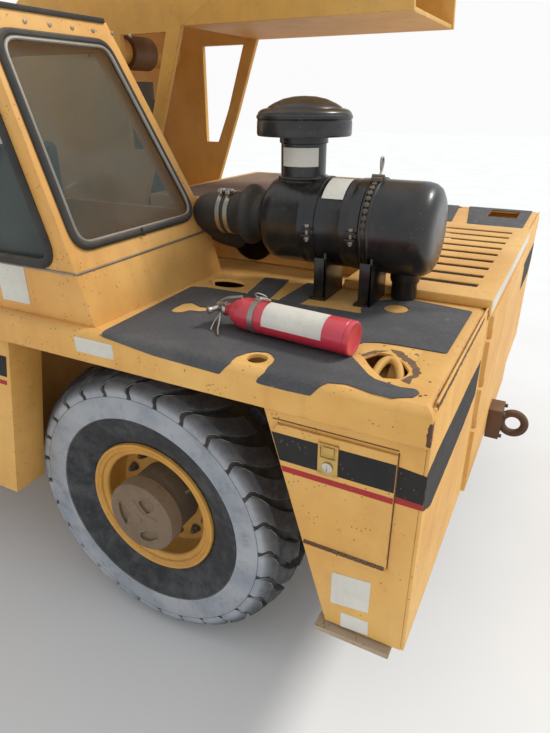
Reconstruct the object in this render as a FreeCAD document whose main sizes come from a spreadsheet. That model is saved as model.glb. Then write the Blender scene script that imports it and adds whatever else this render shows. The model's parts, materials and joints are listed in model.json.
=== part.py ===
import FreeCAD, Part
import math
import os
import Sketcher

V = FreeCAD.Vector

# Driving dimensions in millimetres and degrees. A station is a distance ahead of the rear face.
SIZES = (
    ("rear_face", -2504.28, "place of the rear face along X"),
    ("half_width", 1100, "centre plane to the outer edge of the decks"),
    ("deck_top", 1093, "top of the decks over the ground"),
    ("deck_plate", 8, "thickness of the deck plates"),
    ("band_depth", 81, "depth of the folded edge of the decks"),
    ("body_low", 462, "lower edge of the rear plate and the stabiliser boxes"),
    ("lifting_hole", 22, "radius of the lifting holes in the decks"),
    ("lifting_station", 382, "end face to a lifting hole"),
    ("panel_inset", 21, "deck edge to the outside of the stabiliser boxes"),
    ("sheet_wall", 6, "thickness of the body sheets"),
    ("rail_outer", 330, "centre plane to the outside of a frame rail"),
    ("rail_flange", 80, "width of a frame rail"),
    ("rail_low", 600, "underside of the frame rails"),
    ("rail_high", 860, "top of the frame rails"),
    ("rail_wall", 12, "wall of the frame rails"),
    ("member_length", 110, "length of a cross member along the frame"),
    ("rear_axle", 817, "station of the rear axle"),
    ("wheelbase", 2450, "rear axle to front axle"),
    ("front_overhang", 1283, "front axle to front face"),
    ("tyre_radius", 462, "radius of the tyres over the lugs"),
    ("tyre_width", 278, "width of the tyres"),
    ("lug_count", 28, "lugs on each side of a tyre"),
    ("lug_depth", 28, "height of the lugs at the crown"),
    ("rim_radius", 221, "outer radius of the rim flange"),
    ("rim_width", 228, "width of the rims"),
    ("disc_reach", 12, "middle of a tyre to the face of the rim's disc"),
    ("rim_wall", 8, "wall of the rims"),
    ("hub_radius", 118, "radius of the rear hubs"),
    ("hub_reach", 164, "middle of a rear tyre to the hub's face"),
    ("front_hub_radius", 95, "radius of the front hubs"),
    ("front_hub_reach", 67, "middle of a front tyre to the hub's face"),
    ("spindle_radius", 50, "radius of the rear spindles"),
    ("front_spindle_radius", 35, "radius of the front spindles"),
    ("run_clearance", 0.3, "radial clearance of a turning pin or spindle"),
    ("axle_tube", 85, "radius of the rear axle housing"),
    ("gear_housing", 160, "radius of the axle gear housings"),
    ("beam_width", 120, "width of the front axle beam"),
    ("beam_low", 392, "underside of the front axle beam"),
    ("beam_high", 532, "top of the front axle beam"),
    ("kingpin_radius", 22, "radius of the kingpins"),
    ("knuckle_radius", 45, "radius of the knuckle bosses"),
    ("arm_reach", 210, "kingpin to the tie rod along X"),
    ("tie_radius", 16, "radius of the tie rod"),
    ("box_foot", 190, "length of a stabiliser box at its foot"),
    ("box_head", 354, "length of a stabiliser box under the deck"),
    ("box_depth", 300, "depth of a stabiliser box across the machine"),
    ("leg_width", 80, "width of a stabiliser leg"),
    ("leg_station", 120, "end face to the middle of a stabiliser leg"),
    ("leg_lean", 10, "lean of the stabiliser legs, degrees"),
    ("leg_head", 1040, "top of the stabiliser legs"),
    ("sleeve_top", 690, "top of the leg sleeves"),
    ("sleeve_wall", 9, "wall of the leg sleeves"),
    ("leg_clearance", 1, "gap between a leg and its guides"),
    ("foot_gap", 10, "box foot to foot plate"),
    ("foot_plate", 14, "thickness of the foot plates"),
    ("foot_length", 180, "foot plate along the machine"),
    ("foot_width", 190, "foot plate across the machine"),
    ("door_plate", 6, "thickness of the box doors"),
    ("hood_half", 380, "centre plane to the hood's side walls"),
    ("hood_rear", 400, "station of the hood's rear wall"),
    ("hood_front", 1180, "station of the hood's front wall"),
    ("hood_top", 1290, "top of the hood"),
    ("grille_half", 500, "centre plane to the sides of the slotted panel"),
    ("grille_rise", 25, "deck to the top of the slotted panel"),
    ("slot_count", 9, "slots in the panel"),
    ("slot_pitch", 96, "slot to slot"),
    ("slot_width", 30, "width of a slot"),
    ("slew_station", 1620, "station of the slewing axis"),
    ("ring_radius", 370, "outer radius of the slewing ring"),
    ("ring_bore", 300, "inner radius of the slewing ring"),
    ("ring_low", 1100, "underside of the slewing ring"),
    ("ring_high", 1140, "top of the slewing ring"),
    ("table_radius", 400, "radius of the turret's base plate"),
    ("table_plate", 25, "thickness of the turret's base plate"),
    ("cheek_outer", 260, "centre plane to the outside of the turret's side plates"),
    ("cheek_wall", 20, "thickness of the turret's side plates"),
    ("belly_low", 1800, "underside of the turret's overhang"),
    ("belly_rear", 335, "station of the overhang's end"),
    ("cheek_top", 2240, "top of the turret's side plates"),
    ("foot_pin", 500, "station of the boom's foot pin"),
    ("boom_axis", 2140, "height of the boom's middle and foot pin"),
    ("foot_pin_radius", 30, "radius of the boom's foot pin"),
    ("boom_height", 280, "height of the boom's base section"),
    ("boom_width", 230, "width of the boom's base section"),
    ("boom_wall", 8, "wall of the boom sections"),
    ("boom_step", 8, "clearance between boom sections on each side"),
    ("boom_butt", 640, "station of the base section's rear end"),
    ("boom_front", 4350, "station of the base section's front end"),
    ("section_reach", 250, "how far each section stands out of the one before"),
    ("lift_foot", 1500, "station of the lift cylinder's foot pin"),
    ("lift_foot_height", 1750, "height of the lift cylinder's foot pin"),
    ("lift_head", 3100, "station of the lift cylinder's head pin"),
    ("lift_head_height", 1945, "height of the lift cylinder's head pin"),
    ("lift_barrel", 65, "radius of the lift cylinder's barrel"),
    ("lift_bore", 52, "bore radius of the barrel"),
    ("lift_rod", 36, "radius of the lift cylinder's rod"),
    ("lift_pin", 25, "radius of the lift cylinder's pins"),
    ("head_station", 5030, "station of the head sheave's pin"),
    ("head_height", 1940, "height of the head sheave's pin"),
    ("sheave_radius", 110, "radius of the sheaves at the rope"),
    ("sheave_width", 40, "width of the sheaves"),
    ("sheave_pin", 22, "radius of the sheave pins"),
    ("rope_radius", 7, "radius of the hoist rope"),
    ("fall_length", 330, "head sheave pin to block sheave pin"),
    ("cab_lean_foot", 1250, "height where the wall beside the turret starts to lean"),
    ("cab_lean", 18.3, "lean of the wall beside the turret, degrees"),
    ("cab_rear", 810, "station of the cab's rear wall at the deck"),
    ("cab_slope", 17.6, "slope of the cab's rear wall, degrees"),
    ("cab_step", 1330, "station of the cab's lower rear wall"),
    ("cab_front", 2080, "station of the cab's front wall"),
    ("cab_roof", 1765, "top of the cab's roof"),
    ("cab_floor", 500, "underside of the cab's floor"),
    ("cab_brow", 1960, "station of the roof's front edge"),
    ("cab_sill", 1150, "height of the windscreen's foot"),
    ("cab_wall", 30, "thickness of the cab's walls"),
    ("pane", 6, "thickness of the window panes"),
    ("cab_door_rear", 1380, "station of the cab door's rear edge"),
    ("cab_door_front", 1990, "station of the cab door's front edge"),
    ("cab_door_low", 560, "foot of the cab door"),
    ("cab_door_high", 1700, "top of the cab door"),
    ("door_gap", 6, "gap round the cab door"),
    ("canister_radius", 118, "radius of the air cleaner"),
    ("canister_rear", 155, "station of the air cleaner's rear end"),
    ("canister_front", 615, "station of the air cleaner's front end"),
    ("canister_side", 535, "centre plane to the air cleaner's axis"),
    ("stack_station", 520, "station of the air inlet stack"),
    ("stack_radius", 62, "radius of the air inlet stack"),
    ("cap_radius", 125, "radius of the inlet cap"),
    ("pipe_radius", 55, "radius of the intake elbow"),
    ("bottle_radius", 57, "radius of the fire extinguisher"),
    ("bottle_length", 290, "length of the fire extinguisher's body"),
)


class Dim:
    """A size with its value and the text that works it out from the sheet."""

    def __init__(self, value, text):
        self.value = float(value)
        self.text = text

    def __add__(self, other):
        other = dim(other)
        return Dim(self.value + other.value, f"{self.text} + {other.text}")

    def __sub__(self, other):
        other = dim(other)
        return Dim(self.value - other.value, f"{self.text} - ({other.text})")

    def __mul__(self, other):
        other = dim(other)
        return Dim(self.value * other.value, f"({self.text}) * ({other.text})")

    def __truediv__(self, other):
        other = dim(other)
        return Dim(self.value / other.value, f"({self.text}) / ({other.text})")

    def __neg__(self):
        return Dim(-self.value, f"-({self.text})")

    def __radd__(self, other):
        return dim(other) + self

    def __rsub__(self, other):
        return dim(other) - self

    def __rmul__(self, other):
        return dim(other) * self


def dim(number):
    """A plain number or a size, as a size."""
    return number if isinstance(number, Dim) else Dim(number, f"({float(number)})")


def sine(angle):
    return Dim(math.sin(math.radians(angle.value)), f"sin({angle.text})")


def cosine(angle):
    return Dim(math.cos(math.radians(angle.value)), f"cos({angle.text})")


def tangent(angle):
    return Dim(math.tan(math.radians(angle.value)), f"tan({angle.text})")


def bearing(rise, run):
    """The angle of a slope, in degrees."""
    return Dim(math.degrees(math.atan2(rise.value, run.value)), f"(atan2({rise.text}; {run.text}) / 1 deg)")


def reach(run, rise):
    """The length of a slope."""
    value = math.hypot(run.value, rise.value)
    return Dim(value, f"sqrt(({run.text}) * ({run.text}) + ({rise.text}) * ({rise.text}))")


doc = FreeCAD.newDocument("carry_deck_crane")
sheet = doc.addObject("Spreadsheet::Sheet", "Sizes")
for row, (alias, number, meaning) in enumerate(SIZES, start=1):
    sheet.set(f"A{row}", str(number))
    sheet.setAlias(f"A{row}", alias)
    sheet.set(f"B{row}", meaning)
doc.recompute()


# Places that follow another one: the size they are measured from, and how far on they lie.
FOLLOWING = {
    "lifting_side": ("half_width", -52),
    "leg_foot": ("half_width", -100),
    "bottle_side": ("half_width", -135),
    "hatch_outer": ("half_width", -70),
    "hatch_inner": ("half_width", -260),
    "track_half": ("half_width", -264),
    "kingpin_half": ("half_width", -460),
    "well_side": ("half_width", -500),
    "cab_outer": ("half_width", -30),
    "cab_inner": ("table_radius", 110),
    "deck_joint": ("cab_front", 70),
    "canister_height": ("deck_top", 192),
    "cap_low": ("canister_height", 215),
    "cap_high": ("cap_low", 84),
}


class Named:
    """The sheet's sizes and the places that follow them, by their names."""

    def __getattr__(self, alias):
        if alias in FOLLOWING:
            base, further = FOLLOWING[alias]
            return getattr(self, base) + further
        return Dim(sheet.get(alias), f"Sizes.{alias}")

    @property
    def front_axle(self):
        return self.rear_axle + self.wheelbase

    @property
    def body_length(self):
        return self.front_axle + self.front_overhang

    @property
    def seat_width(self):
        return self.cab_outer - self.cab_inner - 190


S = Named()
PLANES = {"XY": "XY_Plane", "XZ": "XZ_Plane", "YZ": "YZ_Plane"}
NODES = []


def bind(item, **places):
    """Bind properties of an object to sizes; a double underscore stands for a dot."""
    for name, size in places.items():
        size = dim(size)
        item.setExpression(name.replace("__", "."), size.text)
    return item


def block(name, x, y, z, length, width, height):
    """A box with its lowest corner at x, y, z."""
    item = doc.addObject("Part::Box", name)
    bind(item, Length=length, Width=width, Height=height)
    return bind(item, Placement__Base__x=x, Placement__Base__y=y, Placement__Base__z=z)


TURNS = {
    "X": FreeCAD.Rotation(V(0, 1, 0), 90),
    "Y": FreeCAD.Rotation(V(1, 0, 0), -90),
    "Z": FreeCAD.Rotation(),
}


def rod(name, x, y, z, radius, length, axis="Z"):
    """A cylinder that starts at x, y, z and runs up its axis."""
    item = doc.addObject("Part::Cylinder", name)
    item.Placement = FreeCAD.Placement(V(0, 0, 0), TURNS[axis])
    bind(item, Radius=radius, Height=length)
    return bind(item, Placement__Base__x=x, Placement__Base__y=y, Placement__Base__z=z)


def tilted_rod(name, x, y, z, radius, length, slope):
    """A cylinder that starts at x, y, z and climbs forward at the slope, in the plane of X and Z."""
    item = doc.addObject("Part::Cylinder", name)
    item.Placement = FreeCAD.Placement(V(0, 0, 0), FreeCAD.Rotation(V(0, 1, 0), 45))
    bind(item, Radius=radius, Height=length, Placement__Rotation__Angle=90 - slope)
    return bind(item, Placement__Base__x=x, Placement__Base__y=y, Placement__Base__z=z)


def draw(sketch, outline):
    """Draw a closed outline of straight lines, each corner bound to its two sizes."""
    first = sketch.GeometryCount
    corners = [(dim(u), dim(v)) for u, v in outline]
    count = len(corners)
    for index, (u, v) in enumerate(corners):
        u_next, v_next = corners[(index + 1) % count]
        start = V(u.value, v.value, 0)
        sketch.addGeometry(Part.LineSegment(start, V(u_next.value, v_next.value, 0)))
    for index in range(count):
        after = first + (index + 1) % count
        sketch.addConstraint(Sketcher.Constraint("Coincident", first + index, 2, after, 1))
    for index, corner in enumerate(corners):
        for kind, size in zip(("DistanceX", "DistanceY"), corner):
            rule = Sketcher.Constraint(kind, -1, 1, first + index, 1, size.value)
            number = sketch.addConstraint(rule)
            sketch.setExpression(f"Constraints[{number}]", size.text)


def draw_circle(sketch, u, v, radius):
    """Draw a circle bound to its centre and radius."""
    number = sketch.GeometryCount
    u, v, radius = dim(u), dim(v), dim(radius)
    sketch.addGeometry(Part.Circle(V(u.value, v.value, 0), V(0, 0, 1), radius.value))
    rules = (
        (Sketcher.Constraint("DistanceX", -1, 1, number, 3, u.value), u),
        (Sketcher.Constraint("DistanceY", -1, 1, number, 3, v.value), v),
        (Sketcher.Constraint("Radius", number, radius.value), radius),
    )
    for rule, size in rules:
        index = sketch.addConstraint(rule)
        sketch.setExpression(f"Constraints[{index}]", size.text)


def attach(body, plane, name):
    """A sketch on one of the body's own origin planes."""
    sketch = body.newObject("Sketcher::SketchObject", name)
    support = [p for p in body.Origin.OriginFeatures if p.Role == PLANES[plane]][0]
    sketch.AttachmentSupport = [(support, "")]
    sketch.MapMode = "FlatFace"
    return sketch


def plate(name, plane, outline, start, depth, holes=(), rounds=()):
    """A pad of an outline, from start up the plane's third axis, with holes and round holes."""
    body = doc.addObject("PartDesign::Body", name)
    sketch = attach(body, plane, f"{name}_outline")
    for shape in (outline, *holes):
        draw(sketch, shape)
    for u, v, radius in rounds:
        draw_circle(sketch, u, v, radius)
    pad = body.newObject("PartDesign::Pad", f"{name}_pad")
    pad.Profile = sketch
    pad.Length = dim(depth).value
    bind(pad, Length=depth)
    body.Tip = pad
    sketch.Visibility = False
    if plane == "XZ":
        return bind(body, Placement__Base__y=dim(start) + depth)
    return bind(body, **{"Placement__Base__z" if plane == "XY" else "Placement__Base__x": start})


def turned(name, outline, x, y, z, side=1):
    """An outline of radius and reach turned about an axle along Y, its reach pointing outward."""
    body = doc.addObject("PartDesign::Body", name)
    sketch = attach(body, "XY", f"{name}_outline")
    draw(sketch, outline)
    turn = body.newObject("PartDesign::Revolution", f"{name}_turn")
    turn.Profile = sketch
    turn.ReferenceAxis = (sketch, ["V_Axis"])
    turn.Angle = 360
    body.Tip = turn
    if side < 0:
        body.Placement = FreeCAD.Placement(V(0, 0, 0), FreeCAD.Rotation(V(0, 0, 1), 180))
    return bind(body, Placement__Base__x=x, Placement__Base__y=y, Placement__Base__z=z)


def join(name, *items):
    """The items welded into one."""
    item = doc.addObject("Part::MultiFuse", name)
    item.Shapes = list(items)
    return item


def group(name, *items):
    """Like items side by side, each a solid of its own."""
    item = doc.addObject("Part::Compound", name)
    item.Links = list(items)
    return item


def minus(name, base, *tools):
    """The base with the tools cut out of it."""
    item = doc.addObject("Part::Cut", name)
    item.Base = base
    item.Tool = tools[0] if len(tools) == 1 else join(f"{name}_tools", *tools)
    return item


def overlap(name, *items):
    """What the items have in common."""
    item = doc.addObject("Part::MultiCommon", name)
    item.Shapes = list(items)
    return item


def node(label, item):
    """Keep an item as a finished piece under its label."""
    item.Label = label
    NODES.append(item)
    return item


def st(distance):
    """The place along X of a station."""
    return S.rear_face + distance


def low_side(side, inner, outer):
    """The lower Y of a stretch from inner to outer on one side of the machine."""
    return dim(inner) if side > 0 else -dim(outer)


SIDES = (("left", 1), ("right", -1))


def side_point(side, y):
    return dim(y) if side > 0 else -dim(y)


def slab(box):
    """A plain rectangle's four corners from its low and high pairs."""
    (u0, v0), (u1, v1) = box
    return [(u0, v0), (u1, v0), (u1, v1), (u0, v1)]


def frame_rails():
    """Two channel rails, cross members, stabiliser beams and the plates that carry the decks."""
    items = []
    for name, side in SIDES:
        outer, inner = S.rail_outer, S.rail_outer - S.rail_flange
        web = S.rail_outer - S.rail_wall
        channel = [
            (side_point(side, outer), S.rail_low),
            (side_point(side, outer), S.rail_high),
            (side_point(side, inner), S.rail_high),
            (side_point(side, inner), S.rail_high - S.rail_wall),
            (side_point(side, web), S.rail_high - S.rail_wall),
            (side_point(side, web), S.rail_low + S.rail_wall),
            (side_point(side, inner), S.rail_low + S.rail_wall),
            (side_point(side, inner), S.rail_low),
        ]
        length = S.body_length - 16
        items.append(plate(f"rail_{name}", "YZ", channel, st(S.deck_plate), length, ()))
        for end in ("rear", "front"):
            start = along(end, 30 if end == "rear" else 150)
            items.append(
                block(
                    f"stabiliser_beam_{end}_{name}",
                    start,
                    low_side(side, S.rail_outer, S.half_width - S.panel_inset - S.box_depth),
                    S.rail_low + 100,
                    120,
                    S.half_width - S.panel_inset - S.box_depth - S.rail_outer,
                    150,
                )
            )
    members = (500, 1050, 1290, 2150, S.front_axle - 55, S.body_length - 250)
    for number, station in enumerate(members):
        height = 100 if number < 2 else 220
        items.append(
            block(
                f"cross_member_{number}",
                st(station),
                S.rail_wall - S.rail_outer,
                S.rail_low,
                S.member_length,
                (S.rail_outer - S.rail_wall) * 2,
                height,
            )
        )
    for number, station in enumerate((1314, S.front_axle - 607, S.body_length - 650)):
        items.append(
            block(
                f"bulkhead_{number}",
                st(station),
                -(S.half_width - S.deck_plate) if number else 135 - S.half_width,
                S.rail_high,
                S.deck_plate,
                (S.half_width - S.deck_plate) * 2 if number else S.half_width - 347,
                S.deck_top - S.deck_plate - S.rail_high,
            )
        )
    node("main_frame", join("main_frame", *items))


def along(end, distance):
    """A station measured in from the rear face or from the front face."""
    return st(distance) if end == "rear" else st(S.body_length - distance)


def decks():
    """Rear and front deck plates with their folded edges."""
    under = S.deck_top - S.deck_plate
    edge = S.half_width
    walk = S.cab_inner - 5
    ledge = S.cab_outer + 2
    outline = [
        (st(0), edge),
        (st(S.cab_door_rear - 12), edge),
        (st(S.cab_door_rear - 12), ledge),
        (st(S.cab_step - 4), ledge),
        (st(S.cab_step - 4), walk),
        (st(S.deck_joint), walk),
        (st(S.deck_joint), -edge),
        (st(0), -edge),
    ]
    hood = slab(((st(S.hood_rear), -(S.hood_half - S.sheet_wall)),
                 (st(S.hood_front), S.hood_half - S.sheet_wall)))
    well = slab(((st(40), -(S.grille_half - 60)), (st(S.hood_rear - 20), S.grille_half - 60)))
    hatches = [
        slab(((st(82), low_side(side, S.hatch_inner, S.hatch_outer)),
              (st(215), low_side(side, S.hatch_outer, S.hatch_inner))))
        for _, side in SIDES
    ]
    eyes = [(st(S.lifting_station), side_point(side, S.lifting_side), S.lifting_hole) for _, side in SIDES]
    eyes.append((st(S.slew_station), 0, S.ring_radius - 18))
    top = plate("rear_deck_top", "XY", outline, under, S.deck_plate, [hood, well, *hatches], eyes)
    fold = S.band_depth - S.deck_plate
    band_left = block("rear_band_left", st(0), edge - S.deck_plate, under - fold,
                      S.cab_door_rear - 12, S.deck_plate, fold)
    band_right = block("rear_band_right", st(0), -edge, under - fold, S.deck_joint, S.deck_plate, fold)
    wells = [
        block(f"wheel_well_{name}", st(360), low_side(side, S.well_side, S.well_side + 6), S.body_low + 240,
              S.cab_step - 376, 6, under - S.body_low - 240)
        for name, side in SIDES
    ]
    node("rear_deck", join("rear_deck", top, band_left, band_right, *wells))

    outline = [
        (st(S.deck_joint), -edge),
        (st(S.body_length), -edge),
        (st(S.body_length), edge),
        (st(S.cab_front + 6), edge),
        (st(S.cab_front + 6), walk),
        (st(S.deck_joint), walk),
    ]
    hatches = [
        slab(((along("front", 215), low_side(side, S.hatch_inner, S.hatch_outer)),
              (along("front", 82), low_side(side, S.hatch_outer, S.hatch_inner))))
        for _, side in SIDES
    ]
    eyes = [
        (along("front", S.lifting_station), side_point(side, S.lifting_side), S.lifting_hole)
        for _, side in SIDES
    ]
    top = plate("front_deck_top", "XY", outline, under, S.deck_plate, hatches, eyes)
    band_left = block("front_band_left", st(S.cab_front + 6), edge - S.deck_plate, under - fold,
                      S.body_length - S.cab_front - 6, S.deck_plate, fold)
    band_right = block("front_band_right", st(S.deck_joint), -edge, under - fold,
                       S.body_length - S.deck_joint, S.deck_plate, fold)
    half = S.half_width - S.panel_inset
    face = block("front_plate", st(S.body_length - S.deck_plate), -half, S.body_low, S.deck_plate,
                 half * 2, under - S.body_low)
    node("front_deck", join("front_deck", top, band_left, band_right, face))


def rear_plate():
    """The rear plate with its raised and notched centre panel."""
    under = S.deck_top - S.deck_plate
    half = S.half_width - S.panel_inset
    back = block("rear_sheet", st(0), -half, S.body_low, S.deck_plate, half * 2, under - S.body_low)
    notches = []
    for name, side in SIDES:
        for number, height in enumerate((690, 830, 980)):
            notches.append(block(f"notch_{name}_{number}", st(-20), low_side(side, 416, 450),
                                 height, 20, 34, 32))
    raised = block("raised_panel", st(-12), -440, S.body_low + 10, 12, 880, 583)
    node("rear_plate", join("rear_plate", back, minus("raised_plate", raised, *notches)))


def box_edge(end, height):
    """The slanted edge of a stabiliser box at a height, as a station from its own end."""
    rise = S.deck_top - S.band_depth - S.body_low
    return S.box_foot + (S.box_head - S.box_foot) * (height - S.body_low) / rise


def leg_middle(height):
    """Centre plane to the leg's middle at a height."""
    return S.leg_foot - (height - S.body_low) * tangent(S.leg_lean)


def stabiliser_boxes(end):
    """Two slanted boxes at one end, open at the top, with guides for the legs and a door opening."""
    under = S.deck_top - S.deck_plate
    wall = S.sheet_wall
    outer = S.half_width - S.panel_inset
    inner = outer - S.box_depth
    skin = S.deck_plate
    items = []
    for name, side in SIDES:
        outline = [
            (along(end, skin), S.body_low),
            (along(end, box_edge(end, S.body_low)), S.body_low),
            (along(end, box_edge(end, under)), under),
            (along(end, skin), under),
        ]
        brim = S.deck_top - S.band_depth
        hollow = [
            (along(end, skin + wall), S.body_low + skin),
            (along(end, box_edge(end, S.body_low + skin) - wall), S.body_low + skin),
            (along(end, box_edge(end, brim) - wall), brim),
            (along(end, box_edge(end, brim) + 60), brim),
            (along(end, box_edge(end, brim) + 60), under + 5),
            (along(end, skin + wall), under + 5),
        ]
        tag = f"{end}_{name}"
        shell = plate(f"box_{tag}", "XZ", outline, low_side(side, inner, outer), S.box_depth)
        cavity = plate(f"box_cavity_{tag}", "XZ", hollow, low_side(side, inner + wall, outer - wall),
                       S.box_depth - wall * 2)
        opening = [
            (along(end, 90), 710),
            (along(end, box_edge(end, 710) - 40), 710),
            (along(end, box_edge(end, 950) - 40), 950),
            (along(end, 90), 950),
        ]
        hatch = plate(f"box_opening_{tag}", "XZ", opening, low_side(side, outer - wall - 1, outer + 1),
                      wall + 2)
        gap = S.leg_clearance
        half = S.leg_width / 2 + gap
        span = half / cosine(S.leg_lean)
        thick = span + S.sleeve_wall
        sleeve = [
            (side_point(side, leg_middle(S.body_low) - thick), S.body_low),
            (side_point(side, leg_middle(S.body_low) + thick), S.body_low),
            (side_point(side, leg_middle(S.sleeve_top) + thick), S.sleeve_top),
            (side_point(side, leg_middle(S.sleeve_top) - thick), S.sleeve_top),
        ]
        before = half + S.sleeve_wall
        guide = plate(f"box_sleeve_{tag}", "YZ", sleeve,
                      along(end, S.leg_station - before if end == "rear" else S.leg_station + before),
                      before * 2)
        passage = [
            (side_point(side, leg_middle(S.body_low - 20) - span), S.body_low - 20),
            (side_point(side, leg_middle(S.body_low - 20) + span), S.body_low - 20),
            (side_point(side, leg_middle(under + 20) + span), under + 20),
            (side_point(side, leg_middle(under + 20) - span), under + 20),
        ]
        start = along(end, S.leg_station - half if end == "rear" else S.leg_station + half)
        tunnel = plate(f"box_tunnel_{tag}", "YZ", passage, start, half * 2)
        walls = minus(f"box_walls_{tag}", shell, cavity, hatch)
        knuckle = block(f"box_knuckle_{tag}", along(end, 126) if end == "rear" else along(end, 194),
                        low_side(side, outer, outer + 7), 676, 68, 7, 8)
        barrel = rod(f"box_hinge_{tag}", along(end, 126) if end == "rear" else along(end, 194),
                     side_point(side, outer + 7), 680, 6, 68, "X")
        items.append(minus(f"box_open_{tag}", join(f"box_whole_{tag}", walls, guide, knuckle, barrel),
                           tunnel))
    node(f"outrigger_boxes_{end}", group(f"outrigger_boxes_{end}", *items))


def stabiliser_legs(end):
    """A leaning leg with its foot plate and eye in each box of one end."""
    half = S.leg_width / 2
    span = half / cosine(S.leg_lean)
    foot_top = S.body_low - S.foot_gap
    for name, side in SIDES:
        tag = f"{end}_{name}"
        outline = [
            (side_point(side, leg_middle(foot_top) - span), foot_top),
            (side_point(side, leg_middle(foot_top) + span), foot_top),
            (side_point(side, leg_middle(S.leg_head) + span), S.leg_head),
            (side_point(side, leg_middle(S.leg_head) - span), S.leg_head),
        ]
        start = along(end, S.leg_station - half if end == "rear" else S.leg_station + half)
        shaft = plate(f"leg_shaft_{tag}", "YZ", outline, start, half * 2)
        foot_start = S.leg_station - S.foot_length / 2
        foot_end = S.leg_station + S.foot_length / 2
        foot = block(f"leg_foot_{tag}", along(end, foot_start if end == "rear" else foot_end),
                     low_side(side, S.leg_foot - S.foot_width / 2, S.leg_foot + S.foot_width / 2),
                     foot_top - S.foot_plate, S.foot_length, S.foot_width, S.foot_plate)
        eye = rod(f"leg_eye_{tag}", along(end, S.leg_station - 15 if end == "rear" else S.leg_station + 15),
                  side_point(side, leg_middle(S.leg_head)), S.leg_head, 35, 30, "X")
        node(f"outrigger_leg_{tag}", join(f"outrigger_leg_{tag}", shaft, foot, eye))


def box_door(name, side):
    """The bottom-hinged door of one rear stabiliser box."""
    outer = S.half_width - S.panel_inset
    outline = [
        (st(58), 679),
        (st(box_edge("rear", 679) - 6), 679),
        (st(box_edge("rear", 950) - 6), 950),
        (st(box_edge("rear", 950) - 20), 972),
        (st(58), 972),
    ]
    notch = block(f"door_notch_{name}", st(125), low_side(side, outer - 1, outer + 9), 670, 70, 10, 20)
    leaf = plate(f"door_leaf_{name}", "XZ", outline, low_side(side, outer + 0.5, outer + 0.5 + S.door_plate),
                 S.door_plate)
    barrels = [
        rod(f"door_barrel_{name}_{number}", st(start), side_point(side, outer + 7), 680, 6, length, "X")
        for number, (start, length) in enumerate(((58, 67.5), (194.5, 50)))
    ]
    latch = block(f"door_latch_{name}", st(176), low_side(side, outer + 6.5, outer + 12), 881, 45, 5.5, 76)
    node(f"box_door_{name}", join(f"box_door_{name}", minus(f"door_cut_{name}", leaf, notch), *barrels, latch))


def hood():
    """The raised engine hood and the slotted panel behind it."""
    under = S.deck_top - S.deck_plate
    wall = S.sheet_wall
    shell = block("hood_outer", st(S.hood_rear), -S.hood_half, S.deck_top,
                  S.hood_front - S.hood_rear, S.hood_half * 2, S.hood_top - S.deck_top)
    room = block("hood_inner", st(S.hood_rear + wall), wall - S.hood_half, under,
                 S.hood_front - S.hood_rear - wall * 2, (S.hood_half - wall) * 2,
                 S.hood_top - under - wall)
    port = rod("hood_port", st(770), S.hood_half - 20, 1185, 82, 40, "Y")
    node("engine_hood", minus("engine_hood", shell, room, port))
    rise = S.deck_top + S.grille_rise
    outline = slab(((st(-6), -S.grille_half), (st(S.hood_rear), S.grille_half)))
    slots = []
    for number in range(int(S.slot_count.value)):
        middle = S.slot_pitch * (number - (int(S.slot_count.value) - 1) / 2)
        slots.append(slab(((st(50), middle - S.slot_width / 2), (st(300), middle + S.slot_width / 2))))
    top = plate("grille_top", "XY", outline, rise - wall, wall, slots)
    items = [top]
    for name, side in SIDES:
        items.append(block(f"grille_skirt_{name}", st(0), low_side(side, S.grille_half - wall, S.grille_half),
                           S.deck_top, S.hood_rear, wall, S.grille_rise - wall))
    items.append(block("grille_fold", st(-6), -S.grille_half, S.deck_top - 31, 6, S.grille_half * 2,
                       31 + S.grille_rise))
    node("hood_grille", join("hood_grille", *items))


def power():
    """Engine, gearbox and drive shafts."""
    engine = block("engine_block", st(430), -225, S.rail_low + 100, 700, 450, 360)
    node("engine_block", engine)
    box = block("gearbox", st(1240), -150, S.rail_low - 200, 230, 300, 200)
    rear_end = S.rear_axle + 205
    rear = rod("rear_shaft", st(rear_end), 0, S.tyre_radius, 35, 1240 - rear_end, "X")
    front_end = S.front_axle - 180
    front = rod("front_shaft", st(1470), 0, S.tyre_radius, 35, front_end - 1470, "X")
    node("driveline", join("driveline", box, rear, front))


def rear_axle_unit():
    """Rear axle housing with its gear housing, pads and spindles."""
    x = st(S.rear_axle)
    z = S.tyre_radius
    drum_side = S.kingpin_half
    tube = rod("axle_tube", x, -10 - drum_side, z, S.axle_tube, drum_side * 2 + 20, "Y")
    ball = doc.addObject("Part::Sphere", "axle_ball")
    bind(ball, Radius=S.gear_housing, Placement__Base__x=x, Placement__Base__z=z)
    nose = rod("axle_nose", x, 0, z, 75, 205, "X")
    items = [tube, ball, nose]
    for name, side in SIDES:
        items.append(block(f"axle_pad_{name}", x - 70, low_side(side, S.rail_outer - 75, S.rail_outer - 5),
                           z, 140, 70, S.rail_low - z))
        items.append(rod(f"axle_drum_{name}", x, low_side(side, drum_side, drum_side + 60), z, 140, 60, "Y"))
        reach_out = S.track_half + S.hub_reach - 70
        items.append(rod(f"axle_spindle_{name}", x, low_side(side, drum_side + 50, reach_out), z,
                         S.spindle_radius, reach_out - drum_side - 50, "Y"))
    node("rear_axle", join("rear_axle", *items))


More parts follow.
